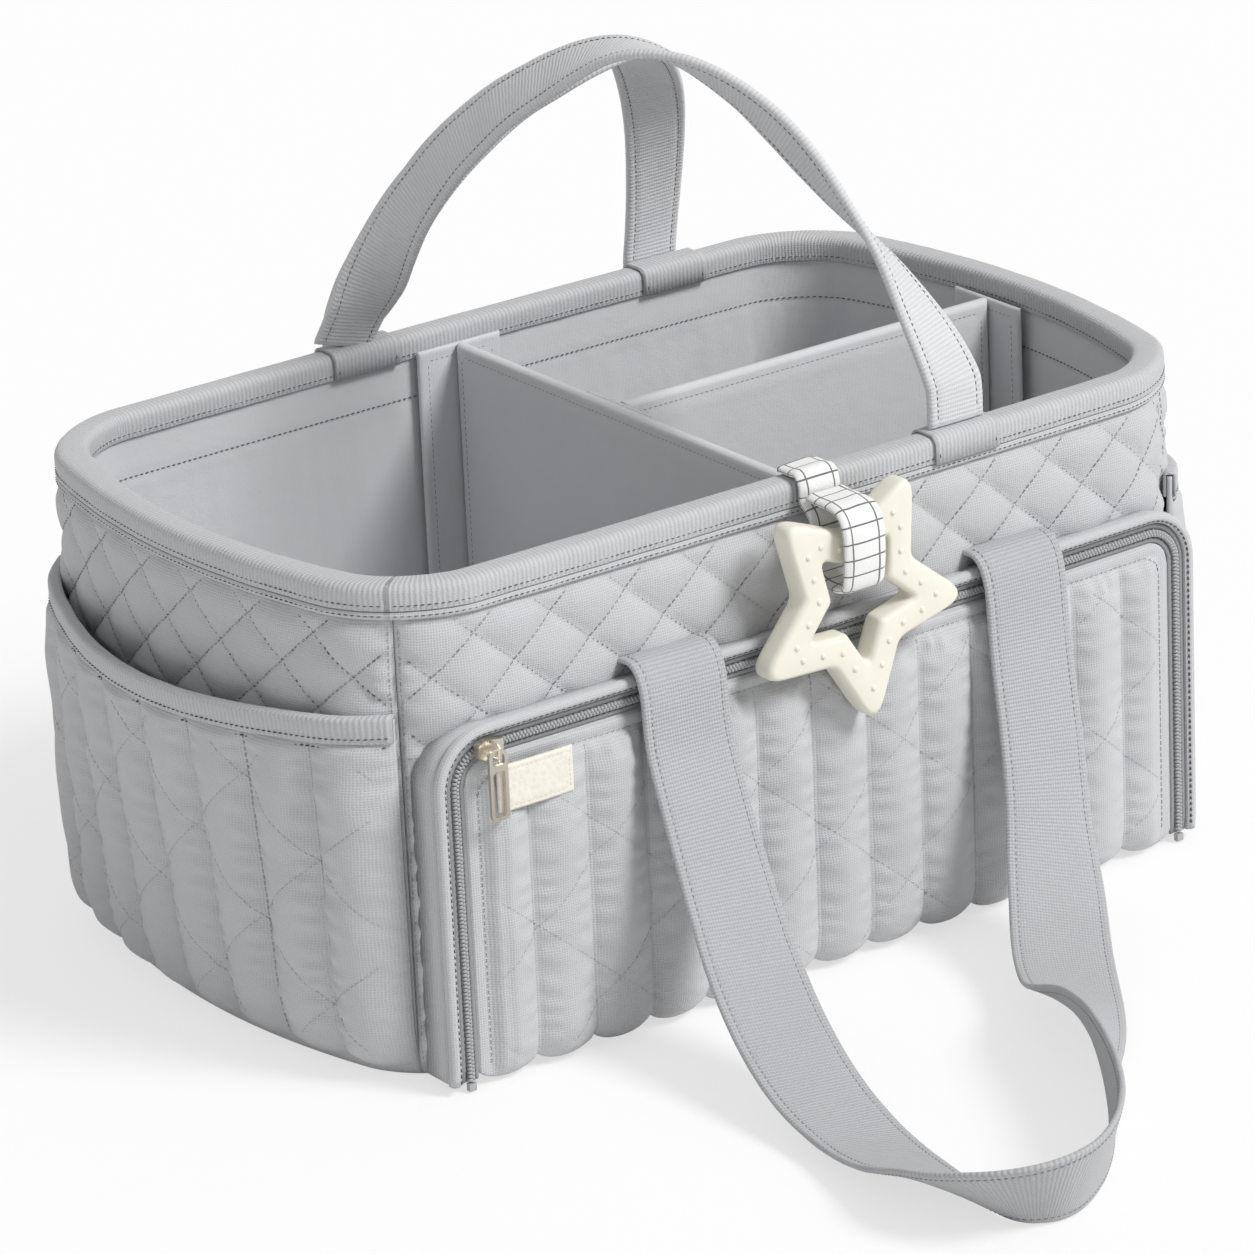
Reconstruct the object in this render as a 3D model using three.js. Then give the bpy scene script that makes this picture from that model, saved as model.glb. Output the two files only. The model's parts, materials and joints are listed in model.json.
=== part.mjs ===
// A soft diaper caddy: a quilted, board-stiffened open box with a bound rim, two stand-up
// handles, a zipped front pocket and two end pockets with sewn channels, two webbing carry
// loops, lift-out dividers and a silicone star teether hung over the front rim.
// Millimetres. X runs along the caddy, -Y is its front, +Z is up, and the origin is on the
// floor under the middle of the box.
import * as THREE from 'three';

// Body
const bodyLength = 370;
const bodyWidth = 242;
const bodyHeight = 196;
const cornerRadius = 34;
const endBow = 22;
const sideBow = 2;
const clearance = 0.3;
const shellThick = 4;
const boardThick = 3;
const liningThick = 1.2;
const baseTuck = 8;
const tuckHeight = 14;
const seamDegrees = 40;
const bottomThick = 2.5;
const baseBoardThick = 2.6;
const baseBoardInset = 9.5;

// Rim binding, its trim strip and the sleeves at the handle feet
const bindingThick = 1.4;
const bindingHeight = 10;
const bindingRound = 2.5;
const trimHeight = 3;
const trimThick = 1.2;
const sleeveThick = 1;
const sleeveLength = 31;

// End pockets
const endPocketTop = 146;
const endPocketDip = 5;
const endPocketBulge = 13;
const endPocketFoot = 3;
const endPocketSeat = 0.7;
const endPocketChannels = 8;
const pocketCloth = 2;
const pocketPuff = 4;
const pocketBindingHeight = 9;
const pocketBindingThick = 1.2;

// Front pocket and its zipper
const frontPocketHalf = 179;
const frontPocketTop = 141;
const frontPocketFoot = 4;
const frontPocketRadius = 22;
const frontPocketChannels = 13;
const frontPocketPuff = 3.5;
const frontPocketCrown = 4;
const frontPocketBack = 2;
const frontPocketEdge = 7;
const gussetDepth = 6;
const gussetThick = 1.5;
const gussetSeat = 0.8;
const weltWidth = 4.6;
const weltThick = 3;
const weltLip = 1;
const tapeWidth = 2;
const tapeThick = 0.8;
const coilWidth = 3;
const coilThick = 2.2;
const stopLength = 3;

// Label, zipper runner, its bail and the pull tab
const labelLength = 33;
const labelHeight = 18;
const labelThick = 1;
const labelLeft = -157;
const labelTop = 126.5;
const runnerX = -158;
const runnerLength = 11;
const runnerWidth = 7.6;
const runnerThick = 3.2;
const bailSpan = 6;
const bailWire = 1.2;
const pullLength = 27;
const pullWidth = 8;
const pullThick = 1.4;
const pullFrame = 1.4;
const pullEye = 4.2;
const pullBridge = 2.4;

// Handles: strap sizes, the feet on the rim, and each route in millimetres with the direction
// across the strap. The front handle's rows are [x, y, rise over the rim], and the rear
// handle's are [x, distance out from the rear side, rise over the rim].
const handleWidth = 26;
const handleThick = 4;
const handleLean = 6.7;
const leaningFootX = -45.8;
const frontFootX = 72;
const rearLeftFootX = -35.5;
const rearFootX = 112.5;
const rearLeftSleeveX = -39;
const rearFootDrop = 9;
const frontHandleRoute = [
  [-40, 106.6, 25.8, 0.78, -0.6, -0.15],
  [-37.9, 102.4, 34.4, 0.45, -0.85, -0.28],
  [-35.9, 98.2, 43, 0.18, -0.9, -0.38],
  [-31.6, 89.5, 59.9, 0, -0.9, -0.43],
  [-27.1, 80.5, 72.6, -0.07, -0.88, -0.46],
  [-22.6, 71.5, 85.3, -0.17, -0.85, -0.48],
  [-17, 60.4, 96.6, -0.28, -0.8, -0.5],
  [-11.5, 49.2, 107.9, -0.4, -0.74, -0.5],
  [-5, 36.2, 116.9, -0.52, -0.68, -0.46],
  [1.5, 23.1, 125.8, -0.62, -0.62, -0.4],
  [8, 9.5, 132.6, -0.76, -0.55, -0.22],
  [13.5, -4, 135.5, -0.84, -0.49, 0.08],
  [22.5, -23, 132.5, -0.7, -0.5, 0.5],
  [28.5, -34, 127.5, -0.6, -0.5, 0.65],
  [35, -46, 119.5, -0.45, -0.6, 0.65],
  [41, -57.5, 108.5, -0.3, -0.7, 0.65],
  [47, -70, 94.5, -0.3, -0.8, 0.5],
  [52, -79, 82.5, -0.44, -0.8, 0.4],
  [59, -93, 65.5, -0.7, -0.65, 0.3],
  [64, -102, 49.5, -0.88, -0.42, 0.15],
  [68, -110, 35, -0.97, -0.2, 0.05],
];
const rearHandleRoute = [
  [-34.3, 5.6, 10, 0.97, -0.25, -0.02],
  [-31.1, -0.9, 21, 0.75, -0.62, -0.15],
  [-26.4, -8.5, 37.5, 0.3, -0.88, -0.32],
  [-21, -15.7, 53.9, 0.06, -0.9, -0.42],
  [-13.2, -19.9, 64.9, 0, -0.9, -0.43],
  [-4.3, -22.7, 75.3, 0.02, -0.92, -0.38],
  [6.9, -25.9, 83.8, 0.1, -0.95, -0.28],
  [19.1, -27.8, 91.8, 0.2, -0.97, -0.15],
  [31.4, -33.1, 98.1, 0.22, -0.97, -0.03],
  [42.7, -40.1, 105, 0.25, -0.96, 0],
  [55, -45, 108.5, 0.4, -0.91, 0],
  [67, -44.5, 107.5, 0.55, -0.83, 0],
  [79, -37.5, 101, 0.7, -0.71, 0],
  [89, -28, 92, 0.8, -0.6, 0],
  [98, -19.5, 79.5, 0.88, -0.46, 0],
  [105.3, -11, 63.2, 0.95, -0.3, 0],
  [110.6, -2, 39, 1, -0.12, 0],
  [112.5, 4, 16, 1, 0, 0],
];

// Webbing carry loops: the front one's route, from its left leg to its right leg. Each row is
// [x, distance out from the side, height] with the direction across the webbing.
const webbingWidth = 39;
const webbingThick = 2.4;
const webbingRoute = [
  [-74, 2.15, 147.1, 1, 0, 0],
  [-74, 10, 147.3, 1, 0, 0],
  [-74.2, 15.2, 143.2, 1, 0, 0],
  [-74.5, 17.6, 133, 1, 0, 0],
  [-74.8, 19, 118, 1, 0, 0],
  [-75, 28, 93, 1, 0, 0],
  [-77, 43, 65, 1, -0.02, 0],
  [-82, 64, 40, 1, -0.1, 0],
  [-89, 89, 22.5, 1, -0.12, -0.02],
  [-94, 116, 11, 1, -0.1, -0.04],
  [-96.5, 141, 5.5, 1, -0.02, -0.1],
  [-98, 167, 4.4, 0.98, 0.12, -0.15],
  [-96, 189, 4.4, 0.86, 0.48, -0.15],
  [-88, 205, 4.4, 0.45, 0.88, -0.15],
  [-72, 212, 4.4, 0.05, 0.98, -0.15],
  [-54, 206, 4.4, -0.35, 0.92, -0.15],
  [-38, 195, 4.4, -0.5, 0.85, -0.15],
  [-22, 181, 4.4, -0.62, 0.77, -0.14],
  [-6, 162, 3.8, -0.74, 0.66, -0.1],
  [12, 136, 3, -0.82, 0.57, -0.03],
  [31, 109, 4.4, -0.86, 0.5, 0],
  [50, 82, 11, -0.92, 0.35, 0],
  [66, 60, 24, -0.97, 0.15, 0],
  [76, 44, 46, -1, 0, 0],
  [83, 31, 76, -1, 0, 0],
  [87, 20.5, 112, -1, 0, 0],
  [88, 17.6, 131, -1, 0, 0],
  [88, 15.2, 143.2, -1, 0, 0],
  [88, 10, 147.3, -1, 0, 0],
  [88, 2.05, 147.1, -1, 0, 0],
];

// Dividers
const dividerThick = 6;
const crossDividerX = 4;
const crossDividerDrop = 7;
const longDividerY = 9;
const longDividerDrop = 8;
const dividerTabWidth = 40;
const dividerTabThick = 2.4;
const stripWidth = 30;
const stripThick = 0.8;
const stripFoot = 40;
const stripDrop = 16;

// Star teether and the checked strap that hangs it
const starX = 1;
const starDrop = 44;
const starOuter = 50;
const starInner = 27;
const starHoleOuter = 27;
const starHoleInner = 13.5;
const starTipRound = 6;
const starNotchRound = 7;
const starHoleRound = 2.5;
const starThick = 11;
const starBevel = 2.6;
const starTurnDegrees = 6;
const starGap = 0.6;
const strapWidth = 19;
const strapThick = 3.6;
const strapLoose = 2.6;
const strapMeet = 7;

const wallThick = shellThick + boardThick + liningThick + 2 * clearance;
const wallTop = bodyHeight - bindingThick - 2 * clearance;
const rimOut = bindingThick + clearance;
const rimIn = wallThick + rimOut;
const sleeveTop = bodyHeight + clearance + sleeveThick;
const rimMiddle = (rimIn - rimOut) / 2;
const floorTop = bottomThick + baseBoardThick + 2 * clearance + liningThick;
const crossDividerTop = bodyHeight - crossDividerDrop;
const longDividerTop = bodyHeight - longDividerDrop;
const stripTop = bodyHeight - stripDrop;
const rearFootZ = bodyHeight - rearFootDrop;
const starZ = bodyHeight - starDrop;

const cloth = { color: 0xc3c4c8, roughness: 0.92, metalness: 0 };
const clothDark = { color: 0xa6a8ad, roughness: 0.92, metalness: 0 };
const webbing = { color: 0xaeb0b5, roughness: 0.85, metalness: 0 };
const lining = { color: 0xa2a4a9, roughness: 0.9, metalness: 0 };
const board = { color: 0xe4e4e2, roughness: 0.8, metalness: 0 };
const cream = { color: 0xf1ead8, roughness: 0.55, metalness: 0 };
const metal = { color: 0xd9cdb6, roughness: 0.3, metalness: 1 };
const checked = { color: 0xf4f4f2, roughness: 0.9, metalness: 0 };

const caddy = new THREE.Group();

function add(name, geometry, finish) {
  const mesh = new THREE.Mesh(geometry, new THREE.MeshStandardMaterial(finish));
  mesh.name = name;
  caddy.add(mesh);
  return mesh;
}

// Six times the signed volume, which is negative where the faces point inwards
function signedVolume(points, triangles) {
  return triangles.reduce((sum, [a, b, c]) =>
    sum + points[a].dot(new THREE.Vector3().crossVectors(points[b], points[c])), 0);
}

function solid(points, triangles) {
  const outward = signedVolume(points, triangles) > 0;
  const faces = outward ? triangles : triangles.map(([a, b, c]) => [a, c, b]);
  const geometry = new THREE.BufferGeometry();
  geometry.setAttribute('position', new THREE.Float32BufferAttribute(points.flatMap((p) => p.toArray()), 3));
  geometry.setIndex(faces.flat());
  geometry.computeVertexNormals();
  return geometry;
}

// A closed solid skinned through rings of points. The section is the flat outline that the
// end caps are cut from; without it the rings close on themselves.
function skin(rings, section) {
  const count = rings[0].length;
  const points = rings.flat();
  const spans = section ? rings.length - 1 : rings.length;
  const triangles = [];
  for (let i = 0; i < spans; i += 1) {
    const here = i * count;
    const next = ((i + 1) % rings.length) * count;
    for (let j = 0; j < count; j += 1) {
      const k = (j + 1) % count;
      triangles.push([here + j, here + k, next + k], [here + j, next + k, next + j]);
    }
  }
  if (section) {
    const turning = Math.sign(THREE.ShapeUtils.area(section));
    const last = (rings.length - 1) * count;
    for (const [a, b, c] of THREE.ShapeUtils.triangulateShape(section, [])) {
      const same = Math.sign(THREE.ShapeUtils.area([section[a], section[b], section[c]])) === turning;
      const [p, q] = same ? [b, c] : [c, b];
      triangles.push([a, q, p], [last + a, last + p, last + q]);
    }
  }
  return solid(points, triangles);
}

const v2 = (x, y) => new THREE.Vector2(x, y);
const v3 = (x, y, z) => new THREE.Vector3(x, y, z);
const range = (count) => Array.from({ length: count + 1 }, (_, i) => i / count);

// Places on the bowed, rounded outline of the box. A stop is a pair of corner places, each a
// side of X, a side of Y and the direction of its arc, with a share of the way between them.
function cornerStops(sideX, sideY, fromDegrees, toDegrees, steps) {
  return range(steps).map((share) => {
    const degrees = fromDegrees + (toDegrees - fromDegrees) * share;
    return { from: [sideX, sideY, degrees], to: [sideX, sideY, degrees], share: 0 };
  });
}

function sideStops(from, to, steps) {
  return range(steps).slice(1, -1).map((share) => ({ from, to, share }));
}

function outlinePoint(stop, inset) {
  const radius = cornerRadius - inset;
  const place = ([sideX, sideY, degrees]) => {
    const turn = THREE.MathUtils.degToRad(degrees);
    return v2(
      sideX * (bodyLength / 2 - cornerRadius) + radius * Math.cos(turn),
      sideY * (bodyWidth / 2 - cornerRadius) + radius * Math.sin(turn),
    );
  };
  const point = place(stop.from).lerp(place(stop.to), stop.share);
  const halfLength = bodyLength / 2 - inset;
  const halfWidth = bodyWidth / 2 - inset;
  const alongShare = 1 - (point.x / halfLength) ** 2;
  const acrossShare = 1 - (point.y / halfWidth) ** 2;
  return v2(
    point.x * (1 + (endBow * acrossShare) / halfLength),
    point.y * (1 + (sideBow * alongShare) / halfWidth),
  );
}

// Distance from the middle of the box to a long side, and to an end, at an inset from the outside
function longSide(x, inset) {
  const halfLength = bodyLength / 2 - inset;
  return bodyWidth / 2 - inset + sideBow * (1 - (x / halfLength) ** 2);
}

function endSide(y, inset) {
  const halfWidth = bodyWidth / 2 - inset;
  return bodyLength / 2 - inset + endBow * (1 - (y / halfWidth) ** 2);
}

const seamGapDegrees = THREE.MathUtils.radToDeg(clearance / (cornerRadius - wallThick)) / 2;
const arcSteps = 4;
const quarterDegrees = 90;
const longSteps = 8;
const endSteps = 8;

// The stops of a long panel and an end panel between two corner seams, turned for each side
function longStops(sideY, gap) {
  const start = sideY < 0 ? 2 * quarterDegrees : 0;
  const [firstX, secondX] = sideY < 0 ? [-1, 1] : [1, -1];
  return [
    ...cornerStops(firstX, sideY, start + seamDegrees + gap, start + quarterDegrees, arcSteps),
    ...sideStops([firstX, sideY, start + quarterDegrees], [secondX, sideY, start + quarterDegrees], longSteps),
    ...cornerStops(secondX, sideY, start + quarterDegrees, start + 2 * quarterDegrees - seamDegrees - gap, arcSteps),
  ];
}

function endStops(sideX, gap, steps = endSteps) {
  const start = sideX < 0 ? quarterDegrees : 3 * quarterDegrees;
  const [firstY, secondY] = sideX < 0 ? [1, -1] : [-1, 1];
  return [
    ...cornerStops(sideX, firstY, start + quarterDegrees - seamDegrees + gap, start + quarterDegrees, arcSteps - 1),
    ...sideStops([sideX, firstY, start + quarterDegrees], [sideX, secondY, start + quarterDegrees], steps),
    ...cornerStops(sideX, secondY, start + quarterDegrees, start + quarterDegrees + seamDegrees - gap, arcSteps - 1),
  ];
}

const wholeOutline = [
  ...longStops(-1, 0), ...endStops(1, 0).slice(1, -1), ...longStops(1, 0), ...endStops(-1, 0).slice(1, -1),
];

// A wall of a given section, whose points are [inset, height], along a run of stops
function wall(stops, section, closed = false) {
  const rings = stops.map((stop) => section.map(([inset, z]) => {
    const point = outlinePoint(stop, inset);
    return v3(point.x, point.y, z);
  }));
  return skin(rings, closed ? null : section.map(([inset, z]) => v2(inset, z)));
}

// How far the foot of the soft shell tucks in under the box at a height
function tuck(z) {
  const share = Math.max(0, 1 - z / tuckHeight);
  return baseTuck * (1 - Math.sqrt(1 - share ** 2));
}

// Quilted outer panels, sewn together at the four corners
const tuckShares = [0, 0.25, 0.57, 1];
const panelSection = [
  ...tuckShares.map((share) => [tuck(share * tuckHeight), share * tuckHeight]),
  [0, wallTop],
  [shellThick, wallTop],
  ...[...tuckShares].reverse().map((share) => [shellThick + tuck(share * tuckHeight), share * tuckHeight]),
];
add('front_panel', wall(longStops(-1, seamGapDegrees), panelSection), cloth);
add('rear_panel', wall(longStops(1, seamGapDegrees), panelSection), cloth);
add('left_panel', wall(endStops(-1, seamGapDegrees), panelSection), cloth);
add('right_panel', wall(endStops(1, seamGapDegrees), panelSection), cloth);

// Stiff boards between the shell and the lining, which stop short of the corner seams
const boardOuter = shellThick + clearance;
const boardSection = [
  [boardOuter, tuckHeight],
  [boardOuter, wallTop],
  [boardOuter + boardThick, wallTop],
  [boardOuter + boardThick, tuckHeight],
];
add('front_board', wall(longStops(-1, 2 * seamGapDegrees), boardSection), board);
add('rear_board', wall(longStops(1, 2 * seamGapDegrees), boardSection), board);
add('left_board', wall(endStops(-1, 2 * seamGapDegrees), boardSection), board);
add('right_board', wall(endStops(1, 2 * seamGapDegrees), boardSection), board);

// A flat plate that follows the outline at an inset
function plate(inset, bottom, top) {
  const outline = wholeOutline.map((stop) => outlinePoint(stop, inset));
  const rings = [bottom, top].map((z) => outline.map((point) => v3(point.x, point.y, z)));
  return skin(rings, outline);
}

const bottomInset = shellThick + baseTuck + clearance;
const boardBottom = bottomThick + clearance;
add('bottom_panel', plate(bottomInset, 0, bottomThick), cloth);
add('base_board', plate(baseBoardInset, boardBottom, boardBottom + baseBoardThick), board);

// Lining: one sewn tub, its walls up to the rim and its floor over the base board
const liningOuter = wallThick - liningThick;
const liningFoot = floorTop - liningThick;
function liningTub() {
  const ring = (inset, z) => wholeOutline.map((stop) => {
    const point = outlinePoint(stop, inset);
    return v3(point.x, point.y, z);
  });
  const rings = [
    ring(liningOuter, liningFoot), ring(liningOuter, wallTop), ring(wallThick, wallTop), ring(wallThick, floorTop),
  ];
  const outline = wholeOutline.map((stop) => outlinePoint(stop, wallThick));
  return skin(rings, outline);
}
add('lining', liningTub(), lining);

// Rim binding folded over all the layers, with a narrow trim strip sewn on under it
const bindingFoot = bodyHeight - bindingHeight;
const bindingSection = [
  [-rimOut, bindingFoot],
  [-rimOut, bodyHeight - bindingRound],
  [bindingRound - rimOut, bodyHeight],
  [rimIn - bindingRound, bodyHeight],
  [rimIn, bodyHeight - bindingRound],
  [rimIn, bindingFoot],
  [rimIn - bindingThick, bindingFoot],
  [rimIn - bindingThick, bodyHeight - bindingThick - clearance],
  [-clearance, bodyHeight - bindingThick - clearance],
  [-clearance, bindingFoot],
];
add('rim_binding', wall(wholeOutline, bindingSection, true), clothDark);
const trimTop = bindingFoot - clearance;
const trimSection = [
  [-clearance - trimThick, trimTop - trimHeight],
  [-clearance - trimThick, trimTop],
  [-clearance, trimTop],
  [-clearance, trimTop - trimHeight],
];
add('rim_trim', wall(wholeOutline, trimSection, true), clothDark);

// Sleeves of binding that wrap the rim where a handle is sewn in
const sleeveOut = rimOut + clearance;
const sleeveIn = rimIn + clearance;
const sleeveSection = [
  [-sleeveOut - sleeveThick, bindingFoot],
  [-sleeveOut - sleeveThick, sleeveTop - bindingRound],
  [bindingRound - sleeveOut - sleeveThick, sleeveTop],
  [sleeveIn + sleeveThick - bindingRound, sleeveTop],
  [sleeveIn + sleeveThick, sleeveTop - bindingRound],
  [sleeveIn + sleeveThick, bindingFoot],
  [sleeveIn, bindingFoot],
  [sleeveIn, bodyHeight + clearance - bindingRound],
  [sleeveIn - bindingRound, bodyHeight + clearance],
  [bindingRound - sleeveOut, bodyHeight + clearance],
  [-sleeveOut, bodyHeight + clearance - bindingRound],
  [-sleeveOut, bindingFoot],
];
function sleeve(name, sideY, x) {
  const steps = 3;
  const rings = range(steps).map((share) => {
    const ringX = x + (share - 1 / 2) * sleeveLength;
    return sleeveSection.map(([inset, z]) => v3(ringX, sideY * longSide(ringX, inset), z));
  });
  add(name, skin(rings, sleeveSection.map(([inset, z]) => v2(inset, z))), clothDark);
}
sleeve('rear_left_sleeve', 1, rearLeftSleeveX);
sleeve('rear_right_sleeve', 1, rearFootX);
sleeve('front_right_sleeve', -1, frontFootX);

// End pockets: a puffed panel of sewn channels that stands off the end wall, bound at the top
const facetsPerChannel = 4;
const pocketLift = pocketBindingThick + 2 * clearance;

function pocketStops(sideX) {
  const samples = endStops(sideX, seamGapDegrees, 2 * endSteps);
  const points = samples.map((stop) => outlinePoint(stop, 0));
  const lengths = points.map((point, i) => (i ? point.distanceTo(points[i - 1]) : 0));
  const sums = lengths.map((_, i) => lengths.slice(0, i + 1).reduce((a, b) => a + b, 0));
  const total = sums[sums.length - 1];
  return { samples, shares: sums.map((sum) => sum / total) };
}

// The place and outward direction at a share of the way round an end, with its offset
function endPlace(run, share, offset) {
  const last = run.shares.length - 1;
  const found = run.shares.findIndex((value) => value >= share);
  const next = Math.min(last, Math.max(1, found < 0 ? last : found));
  const part = (share - run.shares[next - 1]) / (run.shares[next] - run.shares[next - 1]);
  const before = outlinePoint(run.samples[next - 1], -offset);
  const after = outlinePoint(run.samples[next], -offset);
  return before.lerp(after, part);
}

function pocketTopAt(share) {
  return endPocketTop - endPocketDip * Math.sin(Math.PI * share);
}

// How far the back of the pocket stands off the wall, from its foot to its mouth
function pocketBack(share, heightShare) {
  const bulge = endPocketBulge * Math.sin(Math.PI * share) ** 1.5;
  return endPocketSeat + (pocketLift + bulge) * heightShare ** 1.3;
}

function channelPuff(share, channels) {
  return Math.abs(Math.sin(Math.PI * channels * share)) ** 0.7;
}

const pocketRowShares = [0, 0.05, 0.16, 0.5, 0.8];
const pocketPuffShares = [0.15, 0.7, 1, 1, 0.8];
function endPocket(name, sideX) {
  const run = pocketStops(sideX);
  const stops = range(endPocketChannels * facetsPerChannel);
  const rings = stops.map((share) => {
    const top = pocketTopAt(share);
    const clothTop = top - pocketBindingHeight - clearance;
    const at = (offset, z) => {
      const point = endPlace(run, share, offset - tuck(z));
      return v3(point.x, point.y, z);
    };
    const heightShare = (z) => (z - endPocketFoot) / (top - endPocketFoot);
    const rowZ = pocketRowShares.map((row) => endPocketFoot + row * (clothTop - endPocketFoot));
    const front = rowZ.map((z, i) => {
      const puff = pocketPuff * pocketPuffShares[i] * channelPuff(share, endPocketChannels);
      return at(pocketBack(share, heightShare(z)) + pocketCloth + puff, z);
    });
    const backZ = [top, rowZ[3], rowZ[1], endPocketFoot];
    const back = backZ.map((z) => at(pocketBack(share, heightShare(z)), z));
    const mouth = [clothTop, top].map((z) => at(pocketBack(share, heightShare(z)) + pocketCloth, z));
    return [...front, ...mouth, ...back];
  });
  const section = rings[0].map((point) => v2(Math.hypot(point.x, point.y), point.z));
  add(name, skin(rings, section), cloth);
}
endPocket('left_pocket', -1);
endPocket('right_pocket', 1);

function endPocketBinding(name, sideX) {
  const run = pocketStops(sideX);
  const grip = pocketCloth + clearance;
  const outline = [
    [grip, -pocketBindingHeight],
    [grip + pocketBindingThick, -pocketBindingHeight],
    [grip + pocketBindingThick, pocketBindingThick],
    [-clearance - pocketBindingThick, pocketBindingThick],
    [-clearance - pocketBindingThick, -pocketBindingHeight],
    [-clearance, -pocketBindingHeight],
    [-clearance, clearance],
    [grip, clearance],
  ];
  const steps = 24;
  const rings = range(steps).map((share) => outline.map(([out, rise]) => {
    const top = pocketTopAt(share);
    const heightShare = Math.min(1, (top + rise - endPocketFoot) / (top - endPocketFoot));
    const point = endPlace(run, share, pocketBack(share, heightShare) + out);
    return v3(point.x, point.y, top + rise);
  }));
  add(name, skin(rings, outline.map(([out, rise]) => v2(out, rise))), clothDark);
}
endPocketBinding('left_pocket_binding', -1);
endPocketBinding('right_pocket_binding', 1);

// Front pocket frame: up the left side, over the top and down the right side. A section point
// is [inward, out]: the distance in from the outer edge and the distance out from the wall.
const frameSideSteps = 4;
const frameArcSteps = 5;
const frameTopSteps = 10;
const framePath = (() => {
  const straight = frontPocketHalf - frontPocketRadius;
  const shoulder = frontPocketTop - frontPocketRadius;
  const left = range(frameSideSteps).map((share) => ({
    at: v2(-frontPocketHalf, frontPocketFoot + share * (shoulder - frontPocketFoot)), inward: v2(1, 0),
  }));
  const arc = (centreX, from) => range(frameArcSteps).slice(1, -1).map((share) => {
    const turn = from - (share * Math.PI) / 2;
    const out = v2(Math.cos(turn), Math.sin(turn));
    return { at: v2(centreX, shoulder).addScaledVector(out, frontPocketRadius), inward: out.negate() };
  });
  const top = range(frameTopSteps).map((share) => ({
    at: v2(-straight + 2 * straight * share, frontPocketTop), inward: v2(0, -1),
  }));
  const right = [...left].reverse().map(({ at }) => ({ at: v2(-at.x, at.y), inward: v2(-1, 0) }));
  return [...left, ...arc(-straight, Math.PI), ...top, ...arc(straight, Math.PI / 2), ...right];
})();

// A band on the frame. Where toWall is true, the points at out zero lie on the wall itself,
// which curves away behind the ends of the pocket.
const frontWall = longStops(-1, seamGapDegrees).map((stop) => outlinePoint(stop, 0));
function wallFace(x) {
  const next = Math.min(frontWall.length - 1, Math.max(1, frontWall.findIndex((point) => point.x >= x)));
  const [before, after] = [frontWall[next - 1], frontWall[next]];
  const share = (x - before.x) / (after.x - before.x);
  return -(before.y + (after.y - before.y) * share);
}

function frameBand(section, toWall = false) {
  const rings = framePath.map(({ at, inward }) => section.map(([inside, out]) => {
    const x = at.x + inward.x * inside;
    const z = at.y + inward.y * inside;
    const face = toWall && out === 0 ? wallFace(x) + gussetSeat : longSide(x, 0) + out;
    return v3(x, -face, z);
  }));
  return skin(rings, section.map(([inside, out]) => v2(inside, out)));
}

function bandSection(inside, out, width, thick) {
  return [[inside, out], [inside + width, out], [inside + width, out + thick], [inside, out + thick]];
}

const weltOut = gussetDepth + clearance;
const weltShoulderShare = 0.4;
const tapeOneIn = weltWidth - weltLip + clearance;
const coilIn = tapeOneIn + tapeWidth + clearance;
const tapeTwoIn = coilIn + coilWidth + clearance;
const panelIn = tapeTwoIn + tapeWidth + clearance;
add('pocket_gusset', frameBand(bandSection(0, 0, gussetThick, gussetDepth), true), clothDark);
add('pocket_welt', frameBand([
  [-weltLip, weltOut],
  [weltWidth - weltLip, weltOut],
  [weltWidth - weltLip, weltOut + weltThick / 2],
  [weltWidth * (1 - weltShoulderShare) - weltLip, weltOut + weltThick],
  [weltWidth * weltShoulderShare - weltLip, weltOut + weltThick],
  [-weltLip, weltOut + weltThick / 2],
]), clothDark);
add('zipper_tape_outer', frameBand(bandSection(tapeOneIn, weltOut, tapeWidth, tapeThick)), clothDark);
add('zipper_coil', frameBand(bandSection(coilIn, weltOut, coilWidth, coilThick)), clothDark);
add('zipper_tape_inner', frameBand(bandSection(tapeTwoIn, weltOut, tapeWidth, tapeThick)), clothDark);

// Metal stops clamped across the two ends of the zipper, just under the coil
function zipperStop(name, side) {
  const inside = frontPocketHalf - coilIn;
  const section = bandSection(0, weltOut, coilWidth, coilThick);
  const rings = [0, 1].map((share) => {
    const z = frontPocketFoot - clearance - share * stopLength;
    return section.map(([across, out]) => {
      const x = side * (inside - across);
      return v3(x, -longSide(x, 0) - out, z);
    });
  });
  add(name, skin(rings, section.map(([x, y]) => v2(x, y))), metal);
}
zipperStop('zipper_stop_left', -1);
zipperStop('zipper_stop_right', 1);

// Front pocket panel: a crowned, puffed pad of sewn channels inside the zipper
const panelHalf = frontPocketHalf - panelIn;
const panelTop = frontPocketTop - panelIn;
const panelRadius = frontPocketRadius - panelIn;
const panelFoot = frontPocketFoot / 2;
const panelRowShares = [0, 0.03, 0.1, 0.4, 0.7, 0.9, 0.97, 1];
const panelRiseShares = [0.15, 0.6, 0.9, 1, 1, 0.95, 0.7, 0.2];
const crownPowerShare = 0.4;

function panelTopAt(x) {
  const past = Math.max(0, Math.abs(x) - (panelHalf - panelRadius));
  return panelTop - panelRadius + Math.sqrt(Math.max(0, panelRadius ** 2 - past ** 2));
}

function panelOut(x, riseShare, puff) {
  const share = Math.min(1, Math.max(0, (x + panelHalf) / (2 * panelHalf)));
  const crown = frontPocketCrown * Math.sin(Math.PI * share) ** crownPowerShare;
  return frontPocketEdge + (crown + frontPocketPuff * puff) * riseShare;
}

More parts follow.
